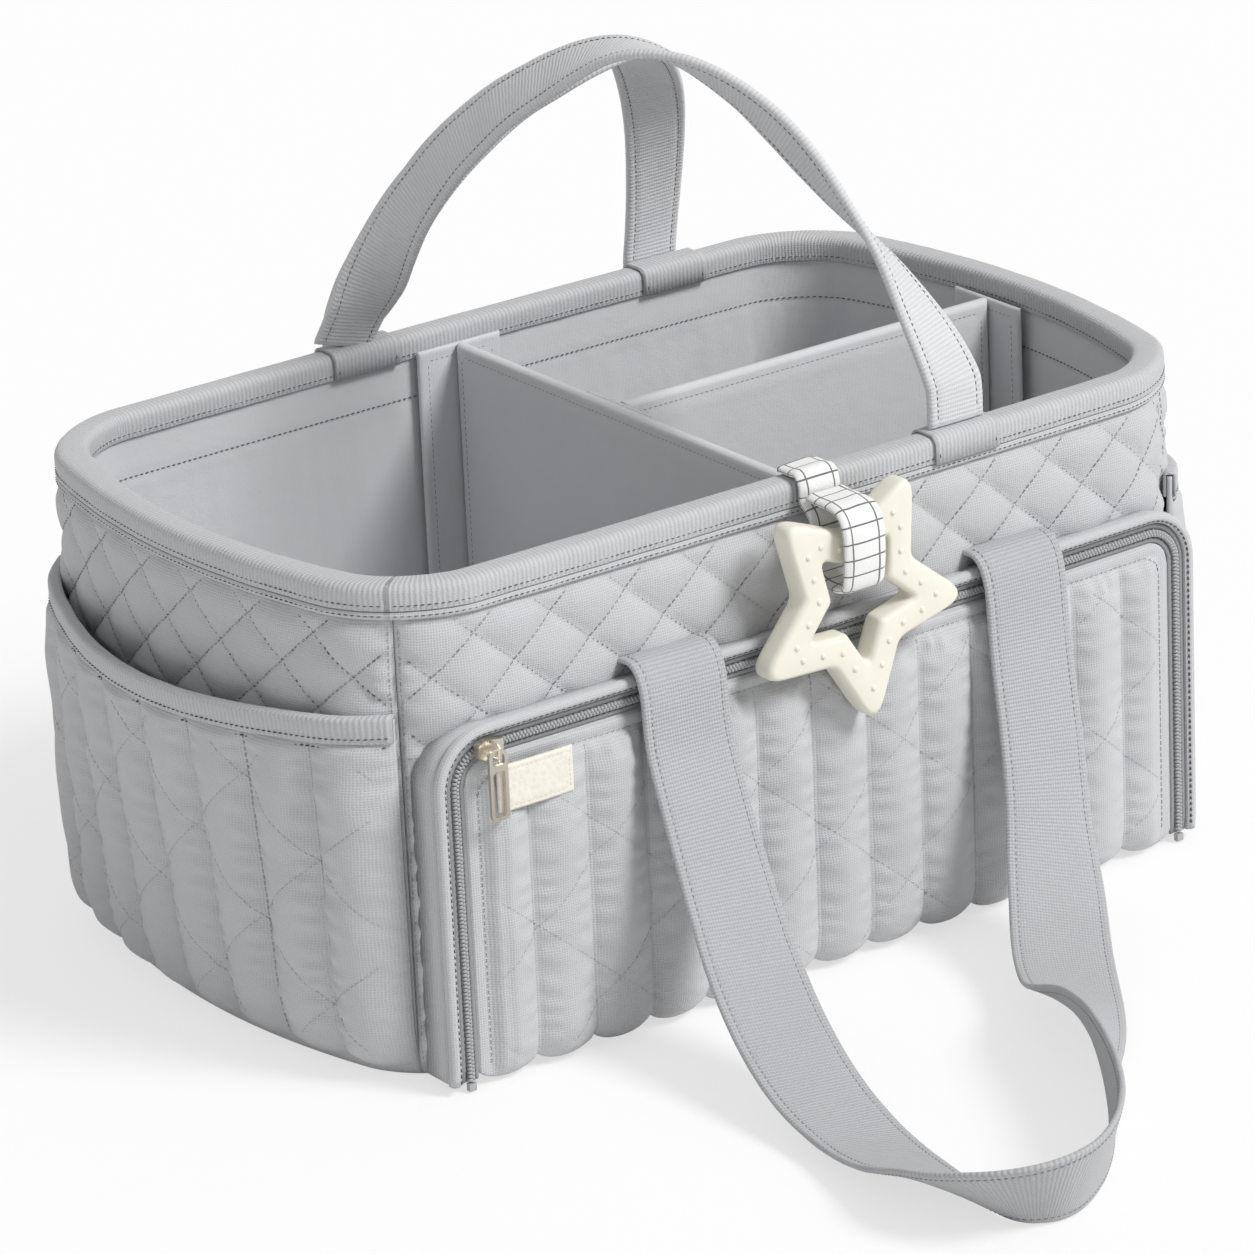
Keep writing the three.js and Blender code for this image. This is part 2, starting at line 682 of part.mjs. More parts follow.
function frontPocket() {
  const rings = range(frontPocketChannels * facetsPerChannel).map((share) => {
    const x = panelHalf * (2 * share - 1);
    const top = panelTopAt(x);
    const puff = channelPuff(share, frontPocketChannels);
    const front = panelRowShares.map((row, i) => v3(
      x, -longSide(x, 0) - panelOut(x, panelRiseShares[i], puff), panelFoot + row * (top - panelFoot),
    ));
    const back = [top, tuckHeight, panelFoot].map((height) => (
      v3(x, -longSide(x, 0) - frontPocketBack + tuck(height), height)));
    return [...front, ...back];
  });
  return skin(rings, rings[0].map((point) => v2(-point.y, point.z)));
}
add('front_pocket_panel', frontPocket(), cloth);

// Label patch, left blank, sewn at the top left of the panel and bent over its upper shoulder
function labelPatch() {
  const rowAt = (row) => panelFoot + panelRowShares[row] * (panelTop - panelFoot);
  const riseAt = (z) => {
    const next = panelRowShares.findIndex((_, row) => rowAt(row) >= z);
    const share = (z - rowAt(next - 1)) / (rowAt(next) - rowAt(next - 1));
    return panelRiseShares[next - 1] + (panelRiseShares[next] - panelRiseShares[next - 1]) * share;
  };
  const rows = panelRowShares.map((_, row) => rowAt(row)).filter((z) => z > labelTop - labelHeight && z < labelTop);
  const heights = [labelTop - labelHeight, ...rows, labelTop];
  const section = [...heights.map((z) => [0, z]), ...[...heights].reverse().map((z) => [labelThick, z])];
  const rings = range(3).map((share) => section.map(([out, z]) => {
    const x = labelLeft + share * labelLength;
    return v3(x, -longSide(x, 0) - panelOut(x, riseAt(z), 1) - clearance - out, z);
  }));
  return skin(rings, section.map(([out, z]) => v2(out, z)));
}
add('label_patch', labelPatch(), cream);

// Straps: a soft-cornered section carried along a route. A stop gives a point of the route and
// the direction across the strap there. Square ends are cut off, a lip is rounded through the
// thickness of the strap, and a tongue is rounded across its width.
const strapCornerShare = 0.35;
const tongueTipShare = 0.3;
const lipTipShare = 0.25;
const tongueStepShares = [0, 0.08, 0.28, 0.6];
const lipStepShares = [0, 0.4];
const strapRingLimit = 40;

function strapStop([x, y, z, wideX, wideY, wideZ]) {
  return { at: v3(x, y, z), wide: v3(wideX, wideY, wideZ) };
}

function strapSection(width, thick) {
  const corner = strapCornerShare * thick;
  return [
    v2(-width / 2, -thick / 2 + corner), v2(-width / 2 + corner, -thick / 2), v2(width / 2 - corner, -thick / 2),
    v2(width / 2, -thick / 2 + corner), v2(width / 2, thick / 2 - corner), v2(width / 2 - corner, thick / 2),
    v2(-width / 2 + corner, thick / 2), v2(-width / 2, thick / 2 - corner),
  ];
}

function strap(stops, width, thick, end = 'square') {
  const centre = new THREE.CatmullRomCurve3(stops.map(({ at }) => at));
  const across = new THREE.CatmullRomCurve3(stops.map(({ wide }) => wide.clone().normalize()));
  const length = centre.getLength();
  const last = stops.length - 1;
  const ends = [stops[1].at.clone().sub(stops[0].at), stops[last].at.clone().sub(stops[last - 1].at)];
  const radius = { square: 0, lip: thick / 2, tongue: width / 2 }[end];
  const near = { square: [], lip: lipStepShares, tongue: tongueStepShares }[end].map((share) => (share * radius) / length);
  const inner = radius / length;
  const middle = range(strapRingLimit).map((share) => inner + share * (1 - 2 * inner));
  const shares = [...near, ...middle, ...near.map((share) => 1 - share).reverse()];
  const rounded = (reach, tip) => (reach < radius ? Math.max(tip, Math.sqrt(1 - (1 - reach / radius) ** 2)) : 1);
  const rings = shares.map((u) => {
    const t = centre.getUtoTmapping(u);
    const point = centre.getPoint(t);
    const along = (u === 0 ? ends[0] : u === 1 ? ends[1] : centre.getTangent(t)).clone().normalize();
    const side = across.getPoint(t);
    side.addScaledVector(along, -side.dot(along)).normalize();
    const up = new THREE.Vector3().crossVectors(along, side);
    const reach = Math.min(u, 1 - u) * length;
    const wide = end === 'tongue' ? width * rounded(reach, tongueTipShare) : width;
    const deep = end === 'lip' ? rounded(reach, lipTipShare) : 1;
    return strapSection(wide, thick).map(({ x, y }) => (
      point.clone().addScaledVector(side, x).addScaledVector(up, y * deep)));
  });
  return skin(rings, strapSection(width, thick));
}

// Front handle: its feet are round tongues that stand on the sleeves and turn about the line
// through the middles of the two tongues. The rear one leans towards the other.
const tongueDrop = Math.hypot(handleWidth / 2, handleThick / 2);
const frontHingeZ = sleeveTop + clearance + tongueDrop;
const leaningTip = v3(leaningFootX, longSide(leaningFootX, rimMiddle), frontHingeZ);
const uprightFoot = v3(frontFootX, -longSide(frontFootX, rimMiddle), frontHingeZ);
const footLine = uprightFoot.clone().sub(leaningTip).normalize();
const leaningFoot = leaningTip.clone().addScaledVector(footLine, handleLean);
const leanRise = leaningFoot.clone().sub(leaningTip).add(v3(0, 0, tongueDrop)).normalize();
const leaningFootTurnShare = 0.2;
function tongue(middle, rise, wideX, wideY) {
  const reaches = [-handleWidth / 2, -handleWidth / 4, 0, handleWidth / 8];
  return reaches.map((reach) => ({ at: middle.clone().addScaledVector(rise, reach), wide: v3(wideX, wideY, 0) }));
}
add('front_handle', strap([
  ...tongue(leaningFoot, leanRise, 1, -leaningFootTurnShare),
  ...frontHandleRoute.map(([x, y, rise, ...wide]) => strapStop([x, y, bodyHeight + rise, ...wide])),
  ...tongue(uprightFoot, v3(0, 0, 1), -1, 0).reverse(),
], handleWidth, handleThick, 'tongue'), webbing);

// Rear handle: its feet lie against the outer side of the rear sleeves and turn about their
// rounded lower lips
const rearFootOffset = sleeveOut + sleeveThick + clearance + handleThick / 2;
function outerFoot(x, wideX) {
  const y = longSide(x, -rearFootOffset);
  return [rearFootZ, rearFootZ + handleThick, sleeveTop].map((z) => strapStop([x, y, z, wideX, 0, 0]));
}
add('rear_handle', strap([
  ...outerFoot(rearLeftFootX, 1),
  ...rearHandleRoute.map(([x, out, rise, ...wide]) => strapStop([x, bodyWidth / 2 + out, bodyHeight + rise, ...wide])),
  ...outerFoot(rearFootX, 1).reverse(),
], handleWidth, handleThick, 'lip'), webbing);

// Webbing carry loops, sewn in above the zipper. Each falls in front of its side of the box and
// stands on the floor on one edge at its foot; the rear one is the front one turned half round.
function webbingLoop(name, side) {
  const stops = webbingRoute.map(([x, out, z, wideX, wideY, wideZ]) => (
    strapStop([-side * x, side * (bodyWidth / 2 + out), z, -side * wideX, -side * wideY, wideZ])));
  add(name, strap(stops, webbingWidth, webbingThick, 'lip'), webbing);
}
webbingLoop('front_webbing_loop', -1);
webbingLoop('rear_webbing_loop', 1);

// Dividers: padded panels with a flat tab across each end, which the sewn strips grip
const tabFace = rimIn + clearance;
const dividerFoot = floorTop + clearance;
const dividerRound = dividerThick / 4;

// An upright board with a softened top edge, between two corners of its box
function slab(low, high, alongX) {
  const half = (alongX ? high.y - low.y : high.x - low.x) / 2;
  const round = Math.min(dividerRound, half / 2);
  const section = [
    v2(-half, low.z), v2(half, low.z), v2(half, high.z - round), v2(half - round, high.z),
    v2(round - half, high.z), v2(-half, high.z - round),
  ];
  const middle = low.clone().add(high).multiplyScalar(1 / 2);
  const rings = (alongX ? [low.x, high.x] : [low.y, high.y]).map((place) => section.map(({ x, y }) => (
    alongX ? v3(place, middle.y + x, y) : v3(middle.x + x, place, y))));
  return skin(rings, section);
}

const crossReach = longSide(dividerTabWidth / 2 + crossDividerX, tabFace) - dividerTabThick - 2 * clearance;
add('cross_divider', slab(
  v3(crossDividerX - dividerThick / 2, -crossReach, dividerFoot),
  v3(crossDividerX + dividerThick / 2, crossReach, crossDividerTop),
  false,
), lining);
function crossTab(name, side) {
  const near = side * (crossReach + clearance);
  const far = side * (crossReach + clearance + dividerTabThick);
  add(name, slab(
    v3(crossDividerX - dividerTabWidth / 2, Math.min(near, far), dividerFoot),
    v3(crossDividerX + dividerTabWidth / 2, Math.max(near, far), crossDividerTop),
    true,
  ), lining);
}
crossTab('cross_divider_tab_front', -1);
crossTab('cross_divider_tab_rear', 1);

const longStart = crossDividerX + dividerThick / 2 + clearance + dividerTabThick + clearance;
const longEnd = endSide(longDividerY + dividerTabWidth / 2, tabFace) - dividerTabThick - 2 * clearance;
add('long_divider', slab(
  v3(longStart, longDividerY - dividerThick / 2, dividerFoot),
  v3(longEnd, longDividerY + dividerThick / 2, longDividerTop),
  true,
), lining);
function longTab(name, near) {
  add(name, slab(
    v3(near, longDividerY - dividerTabWidth / 2, dividerFoot),
    v3(near + dividerTabThick, longDividerY + dividerTabWidth / 2, longDividerTop),
    false,
  ), lining);
}
longTab('long_divider_tab_left', longStart - clearance - dividerTabThick);
longTab('long_divider_tab_right', longEnd + clearance);

// Hook-and-loop strips sewn upright on the lining behind the tabs
function liningStrip(name, place) {
  const section = [[0, 0], [stripThick, 0], [stripThick, stripWidth], [0, stripWidth]];
  const rings = [stripFoot, stripTop].map((z) => section.map(([inward, across]) => {
    const point = place(across - stripWidth / 2, wallThick + clearance + inward);
    return v3(point.x, point.y, z);
  }));
  add(name, skin(rings, section.map(([x, y]) => v2(x, y))), clothDark);
}
liningStrip('front_lining_strip', (across, inset) => v2(crossDividerX + across, -longSide(crossDividerX + stripWidth / 2, inset)));
liningStrip('rear_lining_strip', (across, inset) => v2(crossDividerX + across, longSide(crossDividerX + stripWidth / 2, inset)));
liningStrip('right_lining_strip', (across, inset) => v2(endSide(longDividerY + stripWidth / 2, inset), longDividerY + across));

// Zipper runner on the top run of the coil, with its bail and the pull tab that hangs from it
const runnerZ = frontPocketTop - coilIn - coilWidth / 2;
const wallAtRunner = longSide(runnerX + runnerLength / 2, 0);
const runnerOut = weltOut + coilThick + clearance;
const runnerFace = runnerOut + runnerThick;
const runnerNoseShare = 0.3;
const runnerWaistShare = 0.4;
const runnerWaistPlaceShare = 0.2;
function flatPart(shape, depth, x, out, z) {
  const body = new THREE.ExtrudeGeometry(shape, { depth, bevelEnabled: false, curveSegments: 4 });
  body.rotateX(Math.PI / 2);
  body.translate(x, -wallAtRunner - out, z);
  return body;
}
const runnerShape = new THREE.Shape([
  v2(-runnerLength / 2, -runnerWidth * runnerNoseShare), v2(-runnerLength * runnerWaistPlaceShare, -runnerWidth / 2),
  v2(runnerLength / 2, -runnerWidth * runnerWaistShare), v2(runnerLength / 2, runnerWidth * runnerWaistShare),
  v2(-runnerLength * runnerWaistPlaceShare, runnerWidth / 2), v2(-runnerLength / 2, runnerWidth * runnerNoseShare),
]);
add('zipper_runner', flatPart(runnerShape, runnerThick, runnerX, runnerOut, runnerZ), metal);

// The pull hangs clear of the label; its top bar turns inside the bail
const labelFront = panelOut(labelLeft + labelLength, 1, 1) + clearance + labelThick;
const pullOut = labelFront + clearance;
const bailApex = pullOut + pullThick + clearance + bailWire / 2;
const bailCornerShare = 0.65;
function bail() {
  const sides = 6;
  const half = bailSpan / 2;
  const corner = half * bailCornerShare;
  const path = [
    [-half, runnerFace + clearance], [-half, bailApex - bailWire], [-corner, bailApex],
    [corner, bailApex], [half, bailApex - bailWire], [half, runnerFace + clearance],
  ];
  const rings = path.map(([z, out], i) => {
    const before = path[Math.max(0, i - 1)];
    const after = path[Math.min(path.length - 1, i + 1)];
    const along = v2(after[0] - before[0], after[1] - before[1]).normalize();
    return range(sides).slice(0, -1).map((share) => {
      const turn = 2 * Math.PI * share;
      const across = (bailWire / 2) * Math.sin(turn);
      return v3(
        runnerX + (bailWire / 2) * Math.cos(turn),
        -wallAtRunner - out - across * along.x,
        runnerZ + z - across * along.y,
      );
    });
  });
  const section = range(sides).slice(0, -1).map((share) => v2(Math.cos(2 * Math.PI * share), Math.sin(2 * Math.PI * share)));
  return skin(rings, section);
}
add('runner_bail', bail(), metal);

function roundedBox(Kind, low, high, radius) {
  const outline = new Kind();
  outline.moveTo(low.x + radius, low.y);
  outline.lineTo(high.x - radius, low.y);
  outline.absarc(high.x - radius, low.y + radius, radius, -Math.PI / 2, 0, false);
  outline.lineTo(high.x, high.y - radius);
  outline.absarc(high.x - radius, high.y - radius, radius, 0, Math.PI / 2, false);
  outline.lineTo(low.x + radius, high.y);
  outline.absarc(low.x + radius, high.y - radius, radius, Math.PI / 2, Math.PI, false);
  outline.lineTo(low.x, low.y + radius);
  outline.absarc(low.x + radius, low.y + radius, radius, Math.PI, (3 * Math.PI) / 2, false);
  return outline;
}
function pull() {
  const topBar = pullFrame / 2;
  const inner = pullWidth / 2 - pullFrame;
  const shape = roundedBox(
    THREE.Shape, v2(-pullWidth / 2, topBar - pullLength), v2(pullWidth / 2, topBar), pullWidth / 4,
  );
  const eyeLow = -topBar - pullEye;
  shape.holes.push(roundedBox(THREE.Path, v2(-inner, eyeLow), v2(inner, -topBar), inner / 2));
  shape.holes.push(roundedBox(
    THREE.Path, v2(-inner, topBar - pullLength + pullFrame), v2(inner, eyeLow - pullBridge), inner / 2,
  ));
  return flatPart(shape, pullThick, runnerX, pullOut, runnerZ);
}
add('zipper_pull', pull(), metal);

// Star teether: a rounded five-pointed star with a star-shaped hole, hung point down. Each
// section runs from the outer outline to the outline of the hole and back.
const starFilletSteps = 3;
function starOutline(outer, inner, tipRound, notchRound) {
  const corners = range(10).slice(0, -1).map((share, i) => {
    const turn = THREE.MathUtils.degToRad(starTurnDegrees - quarterDegrees) + 2 * Math.PI * share;
    const radius = i % 2 ? inner : outer;
    return v2(radius * Math.cos(turn), radius * Math.sin(turn));
  });
  return corners.flatMap((corner, i) => {
    const before = corners[(i + corners.length - 1) % corners.length].clone().sub(corner);
    const after = corners[(i + 1) % corners.length].clone().sub(corner);
    const half = Math.abs(before.angleTo(after)) / 2;
    const reach = Math.min((i % 2 ? notchRound : tipRound) / Math.tan(half), before.length() / 3);
    const from = corner.clone().addScaledVector(before.normalize(), reach);
    const to = corner.clone().addScaledVector(after.normalize(), reach);
    return range(starFilletSteps).map((share) => {
      const first = from.clone().lerp(corner, share);
      return first.lerp(corner.clone().lerp(to, share), share);
    });
  });
}
const starBack = longSide(starX, 0) + panelOut(starX, 1, 1) + starGap;
function starTeether() {
  const outer = starOutline(starOuter, starInner, starTipRound, starNotchRound);
  const hole = starOutline(starHoleOuter, starHoleInner, starHoleRound, starHoleRound);
  const front = starBack + starThick;
  const rings = outer.map((edge, i) => {
    const inward = hole[i].clone().sub(edge).normalize().multiplyScalar(starBevel);
    const outsideIn = edge.clone().add(inward);
    const holeOut = hole[i].clone().sub(inward);
    return [
      [edge, starBack + starBevel], [edge, front - starBevel], [outsideIn, front], [holeOut, front],
      [hole[i], front - starBevel], [hole[i], starBack + starBevel], [holeOut, starBack], [outsideIn, starBack],
    ].map(([place, out]) => v3(starX + place.x, -out, starZ + place.y));
  });
  return skin(rings);
}
add('star_teether', starTeether(), cream);

// Checked strap: from the top of the rim down its outer side, round the bridge of the star
// between its hole and its upper notch, and back up to its own front face
const bridgeTurn = THREE.MathUtils.degToRad(starTurnDegrees + quarterDegrees);
const bridgeX = starX + ((starInner + starHoleInner) / 2) * Math.cos(bridgeTurn);
const bridgeTop = starZ + starInner * Math.sin(bridgeTurn) + starNotchRound / 2;
const bridgeFoot = starZ + starHoleInner * Math.sin(bridgeTurn) - starHoleRound / 2;
const strapHalf = strapThick / 2;
function teetherStrap() {
  const outside = longSide(bridgeX, -rimOut - trimThick) + clearance + strapHalf;
  const inside = longSide(bridgeX, rimIn - bindingRound);
  const over = bodyHeight + clearance + strapHalf;
  const behind = starBack - strapLoose - strapHalf;
  const before = starBack + starThick + strapLoose + strapHalf;
  const under = bridgeFoot - strapLoose - strapHalf;
  const above = bridgeTop + strapLoose + strapHalf;
  const meet = over - strapMeet;
  const path = [
    [inside, over], [(inside + outside) / 2, over], [outside - bindingRound, over], [outside, bodyHeight - bindingRound],
    [outside, meet - strapHalf], [behind, bridgeTop], [behind, bridgeFoot + strapHalf], [behind + strapHalf, under],
    [before - strapHalf, under], [before, bridgeFoot + strapHalf], [before, bridgeTop],
    [before - strapThick, above + strapHalf], [outside + strapThick + clearance, meet],
  ];
  return strap(path.map(([out, z]) => strapStop([bridgeX, -out, z, 1, 0, 0])), strapWidth, strapThick);
}
add('teether_strap', teetherStrap(), checked);

export default caddy;
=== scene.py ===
"""Blender looks for a soft diaper caddy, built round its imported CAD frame.

Sizes are in millimetres, as in the part's source, and become metres when a mesh is made.
"""

from __future__ import annotations

import json
import logging
import math
from dataclasses import dataclass, field
from enum import Enum
from typing import Callable, Sequence

import bpy
import numpy as np
from mathutils import Matrix, Vector

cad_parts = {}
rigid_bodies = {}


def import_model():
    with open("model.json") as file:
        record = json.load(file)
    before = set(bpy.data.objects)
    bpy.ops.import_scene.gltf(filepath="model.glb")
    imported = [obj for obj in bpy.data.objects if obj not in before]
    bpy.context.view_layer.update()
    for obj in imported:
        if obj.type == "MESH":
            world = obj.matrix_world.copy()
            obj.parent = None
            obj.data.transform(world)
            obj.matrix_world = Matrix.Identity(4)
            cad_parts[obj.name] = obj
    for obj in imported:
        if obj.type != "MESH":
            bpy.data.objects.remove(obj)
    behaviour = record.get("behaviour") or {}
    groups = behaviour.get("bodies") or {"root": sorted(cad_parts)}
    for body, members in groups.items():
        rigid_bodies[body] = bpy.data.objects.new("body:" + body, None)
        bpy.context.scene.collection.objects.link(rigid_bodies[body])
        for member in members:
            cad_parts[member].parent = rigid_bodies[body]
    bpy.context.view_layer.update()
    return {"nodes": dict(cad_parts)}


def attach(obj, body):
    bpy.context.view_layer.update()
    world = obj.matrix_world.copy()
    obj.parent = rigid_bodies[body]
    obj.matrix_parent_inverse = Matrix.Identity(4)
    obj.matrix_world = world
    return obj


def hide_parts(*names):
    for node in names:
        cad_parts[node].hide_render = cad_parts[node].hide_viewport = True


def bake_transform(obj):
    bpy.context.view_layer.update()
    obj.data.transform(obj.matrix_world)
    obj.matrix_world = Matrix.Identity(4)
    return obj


LOG = logging.getLogger("caddy")
MM = 0.001
FORWARD = np.array([0.0, -1.0, 0.0])
Array = np.ndarray
Socket = bpy.types.NodeSocket
Object = bpy.types.Object
Material = bpy.types.Material
Tie = Callable[[Object], None]
Rows = Sequence[Sequence[float]]
Corner = tuple[int, int]
Triple = tuple[float, float, float]


class Weave(Enum):
    """The surface patterns of the cloths."""

    PLAIN = "plain"
    RIBBED = "ribbed"
    WEBBING = "webbing"
    GRAINED = "grained"
    CHECKED = "checked"


@dataclass(frozen=True)
class Cloth:
    """The finish of a cloth.

    Attributes:
        name: The material's name.
        color: Its base colour, linear.
        weave: Its pattern.
        thread: The distance between threads or ribs, in millimetres.
        relief: How far the pattern stands up, in millimetres.
        contrast: How much darker the gaps between threads are.
        roughness: The shader's roughness.
        sheen: The shader's sheen weight.
    """

    name: str
    color: Triple
    weave: Weave = Weave.PLAIN
    thread: float = 0.75
    relief: float = 0.1
    contrast: float = 0.1
    roughness: float = 0.9
    sheen: float = 0.2


@dataclass(frozen=True)
class Smooth:
    """The finish of a moulded or plated piece.

    Attributes:
        name: The material's name.
        color: Its base colour, linear.
        metallic: One for metal, zero otherwise.
        roughness: The shader's roughness.
        mottle: How much the roughness varies.
        grain: The size of the surface grain, in millimetres.
        relief: How far the grain stands up, in millimetres.
        subsurface: The shader's subsurface weight.
    """

    name: str
    color: Triple
    metallic: float = 0.0
    roughness: float = 0.4
    mottle: float = 0.1
    grain: float = 2.0
    relief: float = 0.02
    subsurface: float = 0.0


Finish = Cloth | Smooth

SHELL_CLOTH = Cloth("shell_cloth", (0.56, 0.566, 0.58), thread=1.0, relief=0.2, contrast=0.24)
LINING_CLOTH = Cloth("lining_cloth", (0.64, 0.646, 0.66), thread=0.7, relief=0.08)
BINDING_TAPE = Cloth("binding_tape", (0.54, 0.546, 0.56), Weave.RIBBED, 1.9, 0.28, 0.2)
HANDLE_CLOTH = Cloth("handle_cloth", (0.65, 0.656, 0.67), Weave.RIBBED, 1.7, 0.2, 0.2)
WEBBING_CLOTH = Cloth("webbing_cloth", (0.46, 0.466, 0.48), Weave.WEBBING, 1.5, 0.3, 0.26)
ZIP_TAPE = Cloth("zip_tape", (0.30, 0.304, 0.315), thread=0.6, relief=0.1, contrast=0.25)
STRIP_CLOTH = Cloth("strip_cloth", (0.36, 0.366, 0.38), thread=1.2, relief=0.35, contrast=0.35)
LABEL_CLOTH = Cloth("label_cloth", (0.83, 0.79, 0.70), Weave.GRAINED, 2.2, 0.22, 0.1)
CHECKED_CLOTH = Cloth("checked_cloth", (0.84, 0.84, 0.83), Weave.CHECKED, 6.2, 0.06, 0.06)
THREAD = Cloth("sewing_thread", (0.11, 0.112, 0.12), thread=0.4, relief=0.04)
# Pale thread coloured darker than the shell cloth: the darkness is painted shade of the seam grooves that it
# lies in.
SEAM_SHADED_PALE_THREAD = Cloth("pale_thread_painted_seam_shade", (0.24, 0.245, 0.26), thread=0.4, relief=0.04)
# Faint thread coloured darker than the shell cloth: the darkness is painted shade of the diamond seams.
SEAM_SHADED_FAINT_THREAD = Cloth("faint_thread_painted_seam_shade", (0.40, 0.404, 0.415), thread=0.4, relief=0.04)
LABEL_THREAD = Cloth("label_thread", (0.66, 0.60, 0.48), thread=0.4, relief=0.04)
COIL_NYLON = Smooth("coil_nylon", (0.40, 0.405, 0.415), roughness=0.45)
PLATED = Smooth("champagne_plate", (0.80, 0.74, 0.64), 1.0, 0.3, 0.12, 6.0, 0.01)
SILICONE = Smooth("cream_silicone", (0.84, 0.81, 0.70), roughness=0.5, subsurface=0.05)
BOARD = Smooth("stiff_board", (0.72, 0.72, 0.70), roughness=0.75, grain=1.5, relief=0.05)


class Nodes:
    """A new material, with short ways to add its nodes."""

    def __init__(self, name: str) -> None:
        """Starts the material.

        Args:
            name: Its name.
        """
        self.material = bpy.data.materials.new(name)
        self.material.use_nodes = True
        self.tree = self.material.node_tree
        self.shader = self.tree.nodes["Principled BSDF"]

    def node(self, kind: str, inputs: dict[int | str, object], **settings: object) -> bpy.types.Node:
        """Adds a node.

        Args:
            kind: Its type.
            inputs: A socket or a value for each input.
            settings: Its other settings.

        Returns:
            The node.
        """
        node = self.tree.nodes.new(kind)
        for name, value in settings.items():
            setattr(node, name, value)
        for place, value in inputs.items():
            self.put(node.inputs[place], value)
        return node

    def put(self, place: Socket, value: object) -> None:
        """Links an input to a socket, or sets it to a value.

        Args:
            place: The input.
            value: The socket or the value.
        """
        if isinstance(value, Socket):
            self.tree.links.new(value, place)
        else:
            place.default_value = value

    def math(self, kind: str, *values: Socket | float) -> Socket:
        """The result of a math node."""
        return self.node("ShaderNodeMath", dict(enumerate(values)), operation=kind).outputs[0]

    def noise(self, where: Socket, scale: float, detail: float) -> Socket:
        """The value of a noise of so many features per metre."""
        inputs = {"Vector": where, "Scale": scale, "Detail": detail}
        return self.node("ShaderNodeTexNoise", inputs).outputs["Fac"]

    def mix(self, share: Socket, first: object, second: object) -> Socket:
        """Mixes two colours.

        Args:
            share: The share of the second one.
            first: A colour or a socket.
            second: A colour or a socket.

        Returns:
            The mixed colour.
        """
        colors = [value if isinstance(value, Socket) else (*value, 1.0) for value in (first, second)]
        inputs = dict(zip((0, 6, 7), (share, *colors)))
        return self.node("ShaderNodeMix", inputs, data_type="RGBA").outputs[2]

    def ridges(self, axis: Socket, period: float) -> Socket:
        """Smooth ridges along a coordinate, from zero to one.

        Args:
            axis: The coordinate, in metres.
            period: The distance between ridges, in millimetres.

        Returns:
            The height.
        """
        wave = self.math("SINE", self.math("MULTIPLY", axis, 2 * math.pi / (period * MM)))
        return self.math("MULTIPLY_ADD", wave, 0.5, 0.5)

    def bump(self, height: Socket, depth: float, strength: float, under: Socket | None = None) -> Socket:
        """Turns a height into a normal.

        Args:
            height: The height.
            depth: What a height of one is, in millimetres.
            strength: How strong the relief is.
            under: The normal that it is laid on.

        Returns:
            The normal.
        """
        inputs = {"Height": height, "Distance": depth * MM, "Strength": strength}
        if under is not None:
            inputs["Normal"] = under
        return self.node("ShaderNodeBump", inputs).outputs[0]

    def wire(self, color: object, normal: Socket, **values: object) -> Material:
        """Sets the shader.

        Args:
            color: Its base colour.
            normal: Its normal.
            values: Its other inputs, with _ for a space.

        Returns:
            The material.
        """
        for name, value in {"Base_Color": color, "Normal": normal, **values}.items():
            self.put(self.shader.inputs[name.replace("_", " ")], value)
        return self.material


